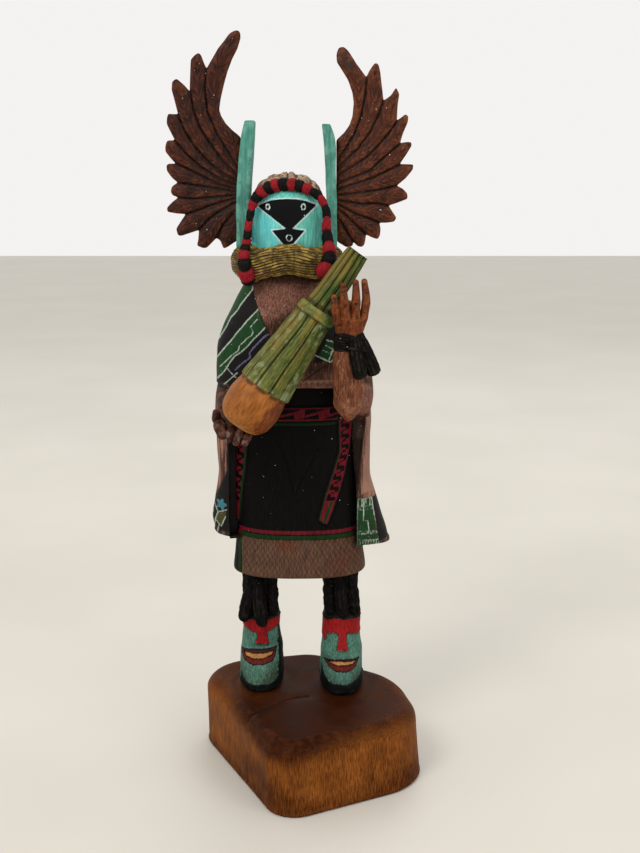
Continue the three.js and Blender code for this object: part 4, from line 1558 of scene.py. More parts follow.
RIGHT_LEG = Leg(
    x=-27.6,
    toe=18.6,
    tassels=(
        (places("-31,10.5,60 -33.6,8,52 -36.4,6.4,41"), (3, 3.6, 3.4)),
        (places("-28.6,7.6,60 -28.4,6,50 -26.8,5,38.2"), (3, 3.8, 3.3)),
        (places("-20.6,8.6,62 -20.4,8,50 -20.6,7.6,42"), (2.2, 2.4, 1.8)),
    ),
    strip=9.5,
    band=places("-38,33.4 -35.6,32.8 -33.6,31.7 -29.3,30.9 -23,31.8 -19.5,33 -16.5,34.4"),
    tongue=places("-29.6,31.8 -23.9,32.2 -24.1,28 -23.1,23.7 -30.4,24.1 -29.2,28.2"),
    moon=places("""
        -38.4,20.6 -35,20.9 -31.9,21.3 -24.6,21.4 -18.7,22.1 -19.5,18.3 -20.9,15.6 -25.7,14.1 -32.4,13.9 -36.5,15.2
        -38.2,17.6
    """),
    moon_light=places("-37.2,19.5 -31.2,19.4 -25.2,19.6 -20.1,20.4 -21.5,18.2 -26.3,16.9 -32.4,16.7 -35.8,17.5"),
    sole=places("-40,13.5 -38.2,9 -37.1,6.2 -33.9,4.6 -30,4.2 -26.8,4.6 -23,4.4 -20.3,5.2 -17.3,7.5 -15.4,14"),
)
LEFT_LEG = Leg(
    x=16.4, toe=22.6,
    tassels=(
        (places("21.4,10,62 22.6,9.3,54 23.8,9.6,43.4"), (2.4, 3, 2.9)),
        (places("14.6,8.2,62 15.4,7.2,54 16.6,6.6,43"), (2.8, 3.2, 3)),
        (places("9.4,9.4,62 9.6,8.6,52 10.4,8.6,43"), (2.2, 2.5, 2.2))
    ), tab=places("5.4,35 7.6,34 7.8,27 6.6,25.8 5.2,28"),
    band=places("4.5,28.6 7.1,29.6 9.5,30.4 13.7,31 19.8,31 24,30 28,28.6"),
    tongue=places("14.3,31.9 19.2,31.8 18.9,27.7 19.8,21.9 13.7,22.1 14.9,27.8"),
    moon=places("6.2,16.9 11,17.5 16.7,17.9 21.5,17.7 26.2,17.3 24,13.3 19.7,12 13.7,12.2 9.5,13.8"),
    moon_light=places("8.4,16.6 12.5,17 16.7,17.1 24.8,16.6 22.8,15.2 16.7,14.9 11.9,15.2"),
    sole=places("3.8,17 5.7,13.5 6.9,9.4 9.5,7 12,6 14.2,6.3 18,5.7 21.5,6.3 25.2,7.6 27.2,10.5 29,13")
)


@dataclass
class Legs(Piece):
    """Both legs."""

    name = "legs_and_moccasins"
    node = "figure"
    finishes = (STOCKING_FINISH, SHOE_FINISH)
    pair: tuple[Leg, Leg] = (RIGHT_LEG, LEFT_LEG)

    def form(self) -> Form:
        """Joins the forms of both legs."""
        return gather([form for leg in self.pair for form in leg.forms()])


# Side boards and wings

BOARD_FINISH = Finish(
    "turquoise_board", "3f7d70", "5a9a8a", streak=(0.8, 0.8, 10), contrast=(0.32, 0.68), blotch=11, blotched=0.4,
    worn="7db3a5", wear=0.4, specks=0.2, rough=(0.58, 0.76), reach=0.1
)


@dataclass
class SideBoard(Piece):
    """An upright board beside the mask, which carries a wing."""

    name: str
    node: str
    slot = "turquoise_boards"
    finishes = (BOARD_FINISH,)
    crease = 40
    places: Path
    front: float = 9
    back: float = 27
    ease: float = 1

    def form(self) -> Form:
        """Makes the board with softened edges and knife marks."""
        table = np.array(self.places)
        low, high = table[0, 0], table[-1, 0]
        z = np.concatenate([[low, low + 0.25], np.arange(low + 0.8, high - 0.7, 0.9), [high - 0.25, high]])
        inset = np.concatenate([[0.5, 0.1], np.zeros(len(z) - 4), [0.1, 0.5]])
        turns = np.linspace(0, math.pi / 2, 5)
        rings = []
        for (x, half), height, less in zip(smooth(table[:, 0], table[:, 1:], z), z, inset):
            half, front, back = half - less - 0.1, self.front + less, self.back - less
            ease = min(self.ease, half * 0.6)
            right, left, near, far = x - half + ease, x + half - ease, front + ease, back - ease
            ring = []
            for lead, (cx, cy) in enumerate(((left, far), (right, far), (right, near), (left, near))):
                ways = turns + lead * math.pi / 2
                ring += [(cx + ease * math.cos(way), cy + ease * math.sin(way)) for way in ways]
            rings.append(np.insert(evenly(np.array(ring), 64, closed=True), 2, height, axis=1))
        return chisel(skin(capped(np.array(rings))), 0.14, 9, len(self.name))


WING_FINISH = Finish(
    "stained_wing", "200d07", "502413", streak=(1.3, 0.8, 8), contrast=(0.4, 0.64),
    coats=(Coat("dark", "241310", "1a0d0b", ragged=1.5, soft=1.2, thin=0.3),), blotch=12, blotched=0.45, deep=0.85,
    hollow_shade="120906", worn="6c351c", wear=0.5, specks=0.2, rough=(0.46, 0.64), reach=0.22
)
# Painted light: the left wing's finish is a lighter, warmer copy of the right wing's.
LIT_WING_FINISH = replace(
    WING_FINISH, name="stained_wing_warm", dark="2c1209", light="633019", contrast=(0.38, 0.64),
    coats=(Coat("dark", "2a1613", "3a2a26", ragged=1.5, soft=1.2, thin=0.3),), blotched=0.4, hollow_shade="160b07",
    worn="7e4524", specks=0.3
)


def facing(points: Array, face: Array) -> Array:
    """Gives the direction that a face looks in by its first three corners."""
    return np.cross(points[face[1]] - points[face[0]], points[face[2]] - points[face[0]])


@dataclass
class Wing(Piece):
    """A carved wing: one plate with eleven feathers."""

    name: str
    node: str
    side: Side
    outline: Line
    grooves: tuple[Line, ...]
    root: Point2
    dark_end: Line
    finishes: tuple[Finish, ...]
    slot = "stained_wings"
    crease = 50
    middle: float = 18
    thickness: float = 5
    spacing: float = 0.58

    def plate(self) -> tuple[Array, Array, Array]:
        """Fills the outline with even triangles.

        Returns:
            The flat points, the triangles and which points lie on the outline.
        """
        corners = np.array(self.outline)
        edge: list[Array] = []
        for start, end in zip(corners, np.roll(corners, -1, axis=0)):
            steps = max(int(np.linalg.norm(end - start) / self.spacing), 1)
            edge += [start + (end - start) * k / steps for k in range(steps)]
        rim = np.array(edge)
        for _ in range(2):
            rim = 0.5 * rim + 0.25 * (np.roll(rim, 1, axis=0) + np.roll(rim, -1, axis=0))
        low, high = rim.min(axis=0), rim.max(axis=0)
        rows = np.arange(low[1], high[1], self.spacing * 0.866)
        lines = [np.arange(low[0] + (k % 2) * self.spacing / 2, high[0], self.spacing) for k in range(len(rows))]
        inner = np.vstack([np.column_stack([line, np.full(len(line), row)]) for line, row in zip(lines, rows)])
        inner = inner[shape_distance(inner, rim) < -0.6 * self.spacing]
        points = [Vector(p) for p in np.vstack([rim, inner])]
        edges = [(k, (k + 1) % len(rim)) for k in range(len(rim))]
        found, _, triangles, *_ = delaunay_2d_cdt(points, edges, [list(range(len(rim)))], 1, 1e-5)
        flat = np.array([(p.x, p.y) for p in found])
        on_rim = np.zeros(len(flat), bool)
        on_rim[: len(rim)] = True
        return flat, np.array([t for t in triangles if len(t) == 3]), on_rim

    def form(self) -> Form:
        """Makes the wing with its feathers raised between the grooves."""
        flat, triangles, on_rim = self.plate()
        from_rim = line_distance(flat, flat[on_rim], closed=True)
        span = np.linalg.norm(flat - np.array(self.root), axis=1)
        near = np.array([line_distance(flat, groove) for groove in self.grooves])
        order = np.sort(near, axis=0)
        cut = order[0]
        which = np.argmin(near, axis=0)
        sign = np.zeros(len(flat))
        for i, groove in enumerate(self.grooves):
            chosen = which == i
            line = np.array(groove)
            gaps = np.linalg.norm(flat[chosen][:, None] - line[None], axis=2)
            k = np.clip(np.argmin(gaps, axis=1), 0, len(line) - 2)
            run = line[k + 1] - line[k]
            away = flat[chosen] - line[k]
            sign[chosen] = np.sign(run[:, 0] * away[:, 1] - run[:, 1] * away[:, 0])
        edge = np.minimum(from_rim, cut)
        half = 0.5 * self.thickness * (1 - 0.3 * np.clip(span / 95, 0, 1))
        shaft = np.abs(np.minimum(order[1], from_rim) - cut)
        ridge = bump(shaft, 0.55) * ramp(edge, 1, 2.4)
        crown = 0.5 + 0.5 * (1 - np.exp(-from_rim / 1.3))
        barb = span + edge * 2.3 + 1.2 * wobble(flat, 9, 101)
        ticks = np.abs(np.sin(barb * 0.62 + 0.9 * wobble(flat, 5, 102))) * ramp(edge, 0.3, 1.2)
        deep = 0.85 * bump(cut, 0.4) + 0.3 * bump(cut, 1.4)
        deep *= 0.45 + 0.55 * ramp(span, 10, 34)
        lap = 0.45 * np.tanh(sign * cut / 0.7) * np.exp(-cut / 2.6) * -self.side.value
        height = half * crown - deep + lap + 0.22 * ridge - 0.22 * (1 - ticks) + 0.16 * wobble(flat, 5, 103) - 0.2
        front = np.maximum(height, 0.35)
        plain = half * crown - 0.55 * bump(cut, 0.9) - 0.25 + 0.12 * wobble(flat, 7, 104)
        back = np.maximum(plain, 0.35)
        count = len(flat)
        points = np.vstack([np.insert(flat, 1, self.middle + away, axis=1) for away in (-front, back)])
        none = np.full((len(triangles), 1), -1)
        index = np.arange(int(on_rim.sum()))
        after = np.roll(index, -1)
        wall = np.stack([index, after, after + count, index + count], axis=1)
        sides = np.vstack([np.hstack([triangles, none]), np.hstack([triangles[:, ::-1] + count, none])])
        if facing(points, sides[0])[1] > 0:
            sides[:, :3] = sides[:, 2::-1]
        outwards = points[0] - points[index].mean(axis=0)
        if facing(points, wall[0]) @ (outwards * (1, 0, 1)) < 0:
            wall = wall[:, ::-1]
        stroke = np.vstack([np.column_stack([barb, 0 * barb + deep, span]) for deep in (0, 9)])
        # Painted shade in the grooves between the feathers.
        groove = bump(cut, 0.5)
        fields = {"groove": np.concatenate([groove * (0.35 + 0.4 * ramp(span, 10, 40)), 0.5 * groove])}
        if self.dark_end:
            fields["dark"] = np.tile(shape_distance(flat, self.dark_end), 2)
        faces = np.vstack([sides, wall])
        return Form(points, faces, np.zeros(len(faces)), stroke, fields)


RIGHT_WING = Wing(
    name="right_wing_feathers",
    node="right_wing",
    side=Side.RIGHT,
    outline=places("""
        -35.4,292.6 -35.9,293.4 -39.8,296.5 -42.9,299.6 -45.2,303.3 -46.2,306.4 -45.4,311.6 -43.7,318.4 -41.7,325.1
        -39.3,331 -36.5,336.2 -34.9,341.2 -35.1,344 -36.4,344.8 -38.3,344.4 -40.5,343.1 -43,339.8 -46.1,336.2
        -49.3,331 -52.1,326.4 -53.6,329.5 -54.7,332.8 -55.8,334.1 -57.7,333.1 -59.9,330.8 -60.4,323.6 -60.8,315.4
        -63.5,318.4 -67.3,321.6 -69.5,320.2 -69.9,316.1 -68.7,311.6 -66.9,304.3 -70,304.3 -71.9,304.6 -72.6,302.6
        -72.8,299.6 -71,295.8 -68.9,291.6 -69.6,291.4 -72.7,291.4 -73.7,289 -73.8,285.9 -71.4,282.8 -68.7,279.9
        -72.2,279.9 -73.5,279.2 -73.3,276.3 -70.8,272.9 -67.9,270.4 -69.7,269.4 -71.1,268.2 -71.6,265.9 -70.9,264.2
        -67.9,263 -71.1,260.5 -73.8,257.8 -73.6,255.7 -68.9,254.9 -64.2,254.6 -66.6,251.2 -69.3,247.2 -68.4,243.7
        -66.8,243.5 -57.6,246.5 -58,241.8 -58.8,238.6 -55.8,237.3 -53.8,237.4 -48.6,242.5 -46.6,241 -45.1,237
        -43.1,237.8 -38.1,241.1 -35.4,242.5
    """),
    grooves=tracks("""
        -52.3,326.4 -53.1,316.9 -52.1,305.6 -47.6,295 -41.5,285.1 -36.9,278.2 / -60.6,315.4 -59.1,306.4 -56.2,298.1
        -50.9,289.7 -44.7,281.3 -37,274.4 / -66.9,303.6 -64,296.5 -58.7,288.2 -51,279.8 -44.8,275.2 -37,271.3 /
        -69.2,291.8 -63.5,285.1 -55.8,278.2 -47.2,272.9 -37.1,269 / -69.2,280.2 -63.6,277.9 -55.1,273.6 -47.3,269.8
        -37.1,267.2 / -68.1,270.5 -59.1,269.2 -47.3,267.5 -37.1,265.8 / -67.9,262.9 -59.3,262.4 -47.4,263.4
        -37.1,264.5 / -64,254.6 -55.4,257.4 -46.7,260.5 -37.2,263.2 / -57.6,246.6 -51.6,252.7 -44.4,257.4 -37.2,261.3
        / -48.4,242.5 -45.3,248.8 -41.2,253.5 -37.2,257
    """),
    root=(-33, 268),
    dark_end=(),
    finishes=(WING_FINISH,),
)
LEFT_WING = Wing(
    name="left_wing_feathers",
    node="left_wing",
    side=Side.LEFT,
    outline=places("""
        13,242.5 13,291.6 17,295.3 19.6,298.9 21.1,303.3 21.7,309.8 21,314.8 18.8,320.9 15.8,325.5 13.1,329.6
        12.9,333.3 14,336.4 16.5,336.9 18.7,335.1 20.6,332.3 23.2,328.4 27.9,322.3 29.5,325.5 32.1,329.1 33.9,328.7
        34.9,324.8 35.9,317 36.7,310.9 40.4,313.4 42.9,317.3 44.6,314.1 43.8,308.3 43.5,301.2 46.1,302.9 47.8,304.4
        49.3,303.3 49.1,300.4 46.6,294.6 45.3,290 48.1,290.6 51,290.6 51.2,288.8 49,285.1 45.3,279.7 49.1,279.6
        52.2,279.5 52,277 48.4,272.6 43.9,268.9 47,267.4 49.4,264.9 49.5,262.3 44,260.2 39.9,258.9 41.8,255.9 44,252.7
        42.7,250.7 38.9,250.2 35.2,250.2 35.9,247.3 35.5,243.6 34.4,241.8 31.3,242.8 28.3,244.3 28.3,242.8 27.6,239
        26.4,237.8 24.1,238.3 21.8,240.5 21.6,238.3 18.4,237.7 13.7,240.5
    """),
    grooves=tracks("""
        28.1,322.4 27.5,314.2 25.5,303.7 22.1,294.6 17.4,287 12.7,281.7 / 36.7,310.8 34.1,303.7 29.9,295.4 23.7,287
        17.5,281.7 12.8,277.8 / 43.5,300.7 39.2,294.6 33.8,288.5 28.4,283.2 21.4,278.6 12.8,274 / 45.3,289.7
        40.1,285.5 34.7,280.9 30,276.3 21.4,273.2 12.8,270.1 / 45.1,279.4 38.7,276.3 32.4,273.2 23,270.1 12.8,267.1 /
        43.9,269 37.2,267.4 30.9,266.3 21.5,265.1 12.8,264.4 / 39.5,258.9 33.3,260.1 26.2,259.7 19.1,260.9 12.8,262 /
        34.9,250.3 30.2,252.3 23.1,254.6 17.6,257.8 12.8,260.1 / 28.3,244.1 25.5,246.8 20.7,251.5 16.8,255.4
        12.8,257.8 / 22,240.4 19.2,244.5 16,250 12.8,254.6
    """),
    root=(9, 268),
    dark_end=places("11.5,338.5 12,328.5 16.5,327.6 18.8,323.2 21.9,325.4 21.5,329.6 18.8,338"),
    finishes=(LIT_WING_FINISH,),
)


# Gourd, forearm and hand

BUNDLE_FINISH = Finish(
    "green_leaves", "464e1e", "717236", streak=(0.55, 0.55, 7), contrast=(0.32, 0.68),
    coats=(
        Coat("ochre", "8d742f", "76632c", ragged=2.2, soft=1.8, thin=0.5),
        # deep: painted shade, a deeper green on one side of the leaves.
        Coat("deep", "3c5a1e", "2d4717", ragged=1.8, soft=3, thin=0.4),
        Coat("brush", "a5ad84", "868f66", ragged=2.4, soft=1.2, thin=0.9)
    ), blotch=8, blotched=0.3, hollow_shade="161a08", deep=0.7, worn="8f9150", wear=0.4, rough=(0.45, 0.65), reach=0.16
)
BOWL_FINISH = Finish(
    "gourd_bowl", "82491a", "a66528", streak=(1.4, 1.4, 6), contrast=(0.3, 0.7),
    coats=(
        # grain: dark grain, and painted shade on the bowl's lower side.
        Coat("grain", "5a240d", "6a2e11", ragged=1.4, soft=1.6, thin=0.4),
        Coat("rim", "b98a4c", "a4743a", ragged=0.4, soft=0.6, thin=0.3)
    ), blotch=9, blotched=0.35, worn="bd8342", wear=0.3, rough=(0.4, 0.55), reach=0.1
)


@dataclass
class GourdBundle(Piece):
    """The gourd wrapped in green leaves, with its collar."""

    name = "gourd_and_leaves"
    node = "gourd_bundle"
    slot = "painted_bundle"
    finishes = (BUNDLE_FINISH, BOWL_FINISH)
    crease = 45
    foot: Point3 = (-36.3, -23.2, 151.6)
    top: Point3 = (23.2, -17.2, 237.3)
    profile: Line = places("""
        0,3.6 0.8,7.9 3.6,11.7 8.5,14 14,14.5 20,13.8 23.4,13.15 23.8,13.9 38,12.7 53,11.2 65.5,10 66.3,10.4 67,10.6
        71,10.2 71.8,9.6 72.6,8.2 86,7.2 104.4,5.95 105.2,5.4
    """)
    leaf_start: float = 23.6
    collar: Pair = (66.2, 71.9)
    leaves: int = 13

    def form(self) -> Form:
        """Makes the gourd with its leaves."""
        foot, top = np.array(self.foot), np.array(self.top)
        axis = (top - foot) / np.linalg.norm(top - foot)
        sideways = np.cross((0, 1, 0), axis)
        sideways /= np.linalg.norm(sideways)
        deep = np.cross(axis, sideways)
        table = np.array(self.profile)
        length = np.linalg.norm(top - foot)
        along = np.concatenate(
            [[0, 0.15, 0.4], np.arange(0.8, length - 1, 0.62), [length - 0.8, length - 0.35, length]]
        )
        radius = np.interp(along, table[:, 0], table[:, 1])
        smoothed = smooth(table[:, 0], table[:, 1], along)
        radius = np.where((along > 22.5) & (along < 24.2), radius, smoothed)
        around = 230
        angle = np.linspace(0, 2 * math.pi, around, endpoint=False)
        rings = (
            foot + along[:, None, None] * axis + radius[:, None, None]
            * (np.cos(angle)[:, None] * sideways + np.sin(angle)[:, None] * deep)
        )
        flat = radius[:, None, None] * np.stack([np.cos(angle), np.sin(angle)], axis=1)
        height = np.broadcast_to(along[:, None, None], (len(along), around, 1))
        form = skin(capped(rings), 0, capped(np.concatenate([flat, height], axis=2)))
        run, turn = form.stroke[:, 2], form.angle
        outside = np.hypot(form.stroke[:, 0], form.stroke[:, 1])
        drift = 0.05 * np.sin(run / 21 + 1.3) + 0.012 * np.sin(run / 5)
        lower = ramp(run, self.leaf_start - 0.2, self.leaf_start + 0.3) * (1 - ramp(run, 65, 66.4))
        upper = ramp(run, 71.6, 72.4)
        leafy = lower + upper
        cells = (turn + drift) * self.leaves / (2 * math.pi) + 0.25 * np.sin(turn * 2 + 0.6)
        beside = np.abs(cells - np.round(cells)) * 2 * math.pi / self.leaves * np.maximum(outside, 3)
        finer = cells * 2 + 0.5
        fine = np.abs(finer - np.round(finer)) * math.pi / self.leaves * np.maximum(outside, 3)
        cut = bump(beside, 0.42) + 0.4 * bump(beside, 1.4)
        cut += 0.28 * bump(fine, 0.3) * ramp(form.wobble(20, 111), -0.4, 0.4)
        seat = bump(run - self.leaf_start, 0.4) + bump(run - 66, 0.45)
        seat += bump(run - 72.1, 0.45)
        end = run > length - 0.1
        notch = (0.8 + 0.2 * form.wobble(5, 114)) * seat * 0.45
        form.push(
            np.where(end, 0, -0.2 - leafy * cut * np.minimum(outside / 6, 1) - notch) + 0.12 * form.wobble(6, 112)
        )
        # Painted shade and dark lines in the grooves between the leaves and at their seated ends.
        form.fields["groove"] = np.minimum(
            leafy * (0.95 * bump(beside, 0.4) + 0.35 * bump(fine, 0.28)) + 0.5 * seat, 1
        ) * np.where(end, 0.7, 1)
        spread = np.column_stack([turn * 11, run * 0.3])
        place = wobble(spread, 9, 115) + 1.1 * wobble(spread * (1, 2), 2.4, 119)
        form.paint("brush", 2.1 - 1.9 * place + np.where(run > self.collar[0], 2, 0))
        # Painted shade: a deeper green on one side of the leaves.
        form.paint("deep", 3 + 4.5 * np.sin(turn - 0.9) - 1.5 * form.wobble(10, 116))
        form.paint("ochre", 1.2 - 3.8 * wobble(spread, 8, 117) - np.where(run > self.collar[1], 2.2, 0))
        share = (form.points[form.faces[:, 0]] - foot) @ axis
        form.finish = np.where(share < self.leaf_start - 0.25, 1, 0)
        # Grain coat: a dark streak, uneven patches and painted shade on the bowl's lower side.
        grain_line = np.abs(turn * 12 + 4.5 + 0.08 * run) - 1.5
        shaded_underside = np.abs(turn + 0.2) * 12 - 9 + 2.5 * form.wobble(7, 120)
        uneven = 2.5 - 4 * wobble(np.column_stack([turn * 9, run * 0.2]), 7, 118)
        form.paint("grain", grain_line, shaded_underside, uneven)
        form.paint("rim", np.abs(run - 2.6 - 1.2 * np.sin(turn)) - 0.5)
        return form


HAND_FINISH = Finish(
    "orange_brown_hand", "481c09", "753816", streak=(0.6, 0.6, 4), contrast=(0.36, 0.64),
    coats=(Coat("black", "1c1210", "120b0a", ragged=0.4, soft=0.2),), blotch=6, blotched=0.35, deep=0.75,
    hollow_shade="3a170c", worn="a2602f", wear=0.4, rough=(0.5, 0.68), reach=0.12
)
SLEEVE_FINISH = Finish(
    "pink_orange_sleeve", "552a18", "824e33", streak=(0.6, 0.6, 5), contrast=(0.36, 0.64),
    coats=(Coat("pale", "b98c70", "9c7156", ragged=0.3, soft=0.25, thin=0.5),), blotch=8, blotched=0.4, worn="a8785c",
    wear=0.35, rough=(0.55, 0.75), reach=0.14
)
YARN_FINISH = Finish(
    "black_wrist_yarn", "080706", "171410", streak=(0.8, 0.8, 1.3), blotch=4, blotched=0.3, hollow_shade="030302",
    worn="38342c", wear=0.4, specks=0.1, rough=(0.6, 0.8), reach=0.5, gloss=0.05
)


def yarn_rope(path: Sequence[Point3], radii: Sequence[float], finish: int, seed: int) -> Form:
    """Makes a hanging tassel of thick yarn.

    Args:
        path: places that its middle goes through.
        radii: its radius along the path.
        finish: number of the finish.
        seed: number of the random draw.

    Returns:
        The form.
    """
    form = limb(path, radii, 56, 0.5, finish, blunt=(0.4, 0.55))
    strands = np.abs(np.sin(form.angle * 5 + 0.02 * form.stroke[:, 2] + 0.2 * form.wobble(8, seed)))
    form.push(-0.2 - 0.35 * (1 - strands) ** 1.5 + 0.1 * form.wobble(1.8, seed + 1))
    # Painted shade between the strands.
    form.fields["groove"] = 0.6 * (1 - ramp(strands, 0, 0.45))
    return form


@dataclass
class LeftForearm(Piece):
    """The raised left forearm with its hand, wrist yarn and tassels."""

    name = "left_forearm_and_hand"
    node = "left_forearm"
    slot = "painted_hands"
    finishes = (SLEEVE_FINISH, HAND_FINISH, YARN_FINISH)
    arm: Path = places("19,2,172 19.4,-9,163 19,-19,162 18.6,-22,176 17.2,-24,196")
    arm_radii: tuple[float, ...] = (8, 8, 7.8, 7.4, 5.2)
    fingers: tuple[Limb, ...] = (
        (places("15.2,-26,198 13.8,-28.2,205 12.2,-30,211 11.4,-29.6,216.8"), (2.7, 2.4, 2.2, 1.5)),
        (places("17.8,-27,200 17,-29.6,208 16.4,-30.4,215 15.8,-29.2,222.6"), (2.7, 2.5, 2.2, 1.5)),
        (places("20.8,-26.5,200 21.7,-28,208 22.1,-27.6,216 22,-26.2,223.6"), (2.7, 2.5, 2.2, 1.6)),
        (places("23.4,-25.4,200 25.8,-25.6,207 27.1,-25,215 26.2,-24,223.8"), (2.6, 2.3, 2.1, 1.6))
    )
    thumb: Path = places("20.5,-23,200 23,-14,206 19.2,-9,211.4")
    tassels: tuple[Path, ...] = (
        places("21.2,-28,197 22.4,-29.2,188 24.2,-29.4,178.5"),
        places("23,-26.4,198 27.2,-26.4,189 31.2,-25.5,179.8")
    )

    def form(self) -> Form:
        """Makes the arm, hand, yarn and tassels."""
        arm = limb(self.arm, self.arm_radii, 110, 0.62, 0)
        narrow = 1 - 0.42 * ramp(-arm.z, -164, -154) * (arm.y < -6)
        arm.points[:, 0] = 19 + (arm.x - 19) * narrow
        chisel(arm, 0.2, 8, 121)
        arm.paint("pale", hairs(arm.front_view, 122, 70, (11, 27), (155, 196), 0.6))
        palm = limb(places("17.8,-25,196.5 18.6,-26,200 19.4,-26.4,203.5"), (5.4, 6.6, 6), 80, 0.5, 1, flat=0.62)
        parts = [arm, palm]
        marks = np.random.default_rng(123)
        for path, radii in self.fingers:
            finger = limb(path, radii, 36, 0.4, 1)
            run = finger.stroke[:, 2]
            spot = np.full(len(run), FAR)
            for _ in range(5):
                at, side = marks.uniform(3, run.max() - 1), marks.uniform(-1, 1)
                away = np.hypot((run - at) / 0.45, (finger.stroke[:, 0] - side) / 1)
                spot = np.minimum(spot, (away - 1) * 0.45)
            finger.fields["black"] = np.where(finger.y < -24, spot, FAR)
            knuckle = sum(bump(run - at, 1.6) for at in (7, 14))
            parts.append(finger.push(0.18 * knuckle - 0.1))
        parts.append(limb(self.thumb, (2.8, 2.4, 1.8), 36, 0.5, 1))
        yarn = limb(
            places("16.9,-24,190.4 17.2,-24.2,194.6 17.6,-24.6,199"), (5.6, 6.2, 6), 90, 0.35, 2, blunt=(0.3, 0.25)
        )
        winds = np.abs(np.sin(yarn.stroke[:, 2] * math.pi / 1.5 + yarn.angle * 0.5))
        parts.append(yarn.push(-0.1 - 0.35 * (1 - winds)))
        parts += [yarn_rope(path, (3.2, 3.9, 4, 3.9), 2, 131 + i) for i, path in enumerate(self.tassels)]
        parts.append(limb(places("16.8,-31,192.6 22,-32.4,191.8 27.5,-29.8,190.4"), (0.7, 0.8, 0.7), 16, 0.4, 2))
        return gather(parts)


DARK_HAND_FINISH = Finish(
    "dark_brown_hand", "241008", "442012", streak=(0.6, 0.6, 3),
    # The grey coat is a painted highlight.
    coats=(Coat("grey", "8f7f76", "6e5e56", ragged=0.8, soft=0.5, thin=0.8),), blotch=5, blotched=0.3, deep=0.85,
    worn="7c5340", wear=0.5, rough=(0.48, 0.66), reach=0.14
)


@dataclass
class RightHand(Piece):
    """The right forearm's end and the hand under the gourd."""

    name = "right_hand_fingers"
    node = "right_hand"
    slot = "painted_hands"
    finishes = (DARK_HAND_FINISH,)
    arm: Path = places("-43.5,4,160 -42.5,-6,154 -40,-16,149.5")
    palm: Path = places("-42,-15,150 -38,-17,149 -34,-18,148")
    thumb: Path = places("-44.5,-14,150 -46.8,-18,154 -47.2,-21,158")
    fingers: tuple[Limb, ...] = (
        (places("-45.6,-18,153.2 -45.6,-21.5,151.6 -43.8,-24,148"), (2.6, 3.2, 2.8)),
        (places("-38.6,-20,151.8 -39.6,-23.4,149.4 -41,-24.6,145.4"), (2.1, 2.6, 2.3)),
        (places("-34.6,-21,150.4 -35.6,-23.8,148 -37,-25,144.4"), (2.1, 2.6, 2.2)),
        (places("-30.4,-22,148.4 -31.4,-24.2,146.6 -32.7,-25.4,144"), (2, 2.4, 2.1))
    )

    def form(self) -> Form:
        """Makes the hand."""
        parts = [
            chisel(limb(self.arm, (6, 5.4, 5), 70, 0.7), 0.2, 6, 141), limb(self.palm, (4.8, 4.5, 4), 60, 0.6),
            limb(self.thumb, (3.1, 2.7, 2.1), 44, 0.5)
        ]
        parts += [limb(path, radii, 44, 0.4) for path, radii in self.fingers]
        form = gather(parts)
        form.push(0.15 * form.wobble(3, 142) - 0.1)
        # Painted highlight: grey patches, more of them towards the front.
        form.paint("grey", 2.9 - 1.8 * form.wobble(2.6, 143) + 0.5 * (form.y + 22))
        return form


# Floor, light and camera


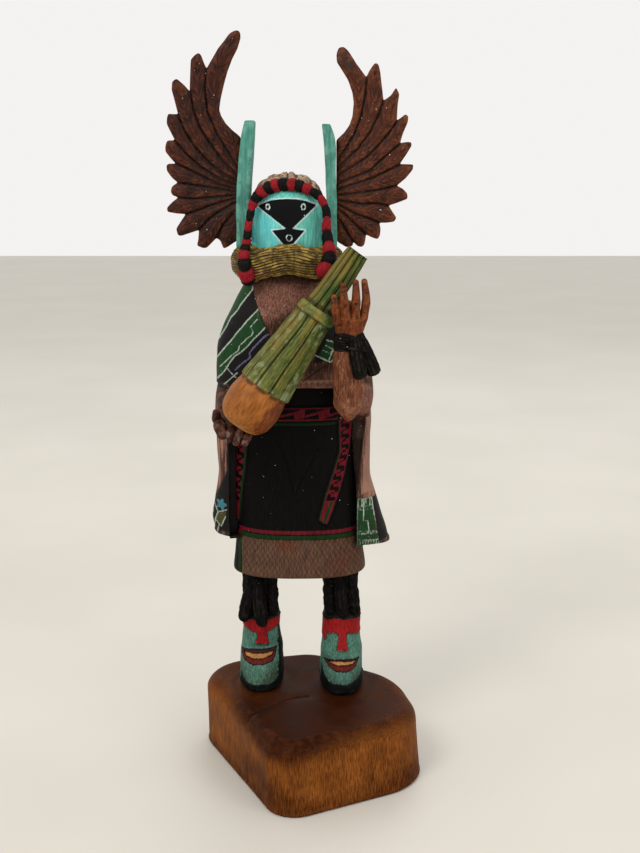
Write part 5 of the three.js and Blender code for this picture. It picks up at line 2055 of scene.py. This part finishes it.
@dataclass
class Studio:
    """The plain floor, the soft lights and the camera."""

    floor_half: float = 4
    camera_place: Point3 = (0.0047, -0.6075, 0.315)
    tilt_down: float = math.radians(12)
    focal: float = 1200 / 853 * 24
    world_light: float = 0.9

    def floor(self) -> None:
        """Lays the pale floor."""
        mesh = bpy.data.meshes.new("pale_floor")
        half = self.floor_half
        mesh.from_pydata([(-half, -half, 0), (half, -half, 0), (half, half, 0), (-half, half, 0)], [], [(0, 1, 2, 3)])
        bench = Bench("pale_shelf")
        tone = bench.noise(bench.place, (0.2, 0.2, 0.2), 2, 0.5)
        colour = bench.blend(bench.span(tone, 0.3, 0.7), hue("cac5ba"), hue("d0cbc1"))
        fine = bench.noise(bench.place, (0.0015,) * 3, 2, 0.5)
        mesh.materials.append(bench.finish(colour, bench.span(tone, 0.3, 0.7, (0.55, 0.65)), fine, 0.05))
        piece = bpy.data.objects.new("pale_floor", mesh)
        bpy.context.collection.objects.link(piece)

    def light(self, name: str, place: Point3, aim: Point3, size: float, power: float, colour: Point3) -> None:
        """Hangs one soft light.

        Args:
            name: what it is called.
            place: where it hangs.
            aim: where it shines.
            size: its width.
            power: its strength in watts.
            colour: its tint.
        """
        lamp = bpy.data.lights.new(name, "AREA")
        lamp.shape, lamp.size, lamp.energy, lamp.color = "DISK", size, power, colour
        holder = bpy.data.objects.new(name, lamp)
        holder.location = place
        holder.rotation_euler = (Vector(aim) - Vector(place)).to_track_quat("-Z", "Y").to_euler()
        bpy.context.collection.objects.link(holder)

    def camera(self) -> None:
        """Sets the camera at the photograph's viewing angle."""
        lens = bpy.data.cameras.new("camera")
        lens.sensor_fit, lens.sensor_height, lens.lens = "VERTICAL", 24, self.focal
        lens.clip_start, lens.clip_end = 0.02, 30
        holder = bpy.data.objects.new("camera", lens)
        holder.location = self.camera_place
        holder.rotation_euler = (math.pi / 2 - self.tilt_down, 0, 0)
        bpy.context.collection.objects.link(holder)
        bpy.context.scene.camera = holder

    def build(self) -> None:
        """Builds floor, lights, air and camera."""
        self.floor()
        self.light("key", (-0.7, -0.9, 1.3), (0, 0, 0.2), 0.6, 9, (1, 0.98, 0.95))
        self.light("fill", (1, -0.7, 0.8), (0, 0, 0.15), 0.8, 3, (1, 0.97, 0.93))
        self.light("back", (0.2, 1.1, 1.2), (0, 0, 0.2), 0.8, 4, (0.97, 0.98, 1))
        world = bpy.data.worlds.new("soft_air")
        world.use_nodes = True
        air = world.node_tree.nodes["Background"]
        air.inputs["Color"].default_value = (1, 0.99, 0.975, 1)
        air.inputs["Strength"].default_value = self.world_light
        bpy.context.scene.world = world
        bpy.context.scene.view_settings.view_transform = "Standard"
        self.camera()


RIGHT_BOARD = SideBoard(
    "right_board_turquoise", "right_side_board",
    places("228.5,-34.6,3.4 232,-34.7,3.5 260,-34.4,3.6 276,-33.4,3.6 292,-31.8,3.5 301,-30.5,2.6")
)
LEFT_BOARD = SideBoard(
    "left_board_turquoise", "left_side_board",
    places("228.5,10.8,2.8 232,10.9,2.8 260,10.6,2.8 276,10.1,2.8 292,9.4,3 299.5,7.7,2.3")
)


def main() -> None:
    """Builds the studio and every piece of the doll, and reports each."""
    logging.basicConfig(level=logging.INFO, format="%(name)s %(message)s")
    Studio().build()
    parts = (BaseBlock(), Head(), Robe(), Dress(), Legs(), RIGHT_BOARD, LEFT_BOARD, RIGHT_WING, LEFT_WING)
    for part in (*parts, GourdBundle(), LeftForearm(), RightHand()):
        piece = part.build()
        log.info("built %s", piece.name)


if __name__ == "__main__":
    main()
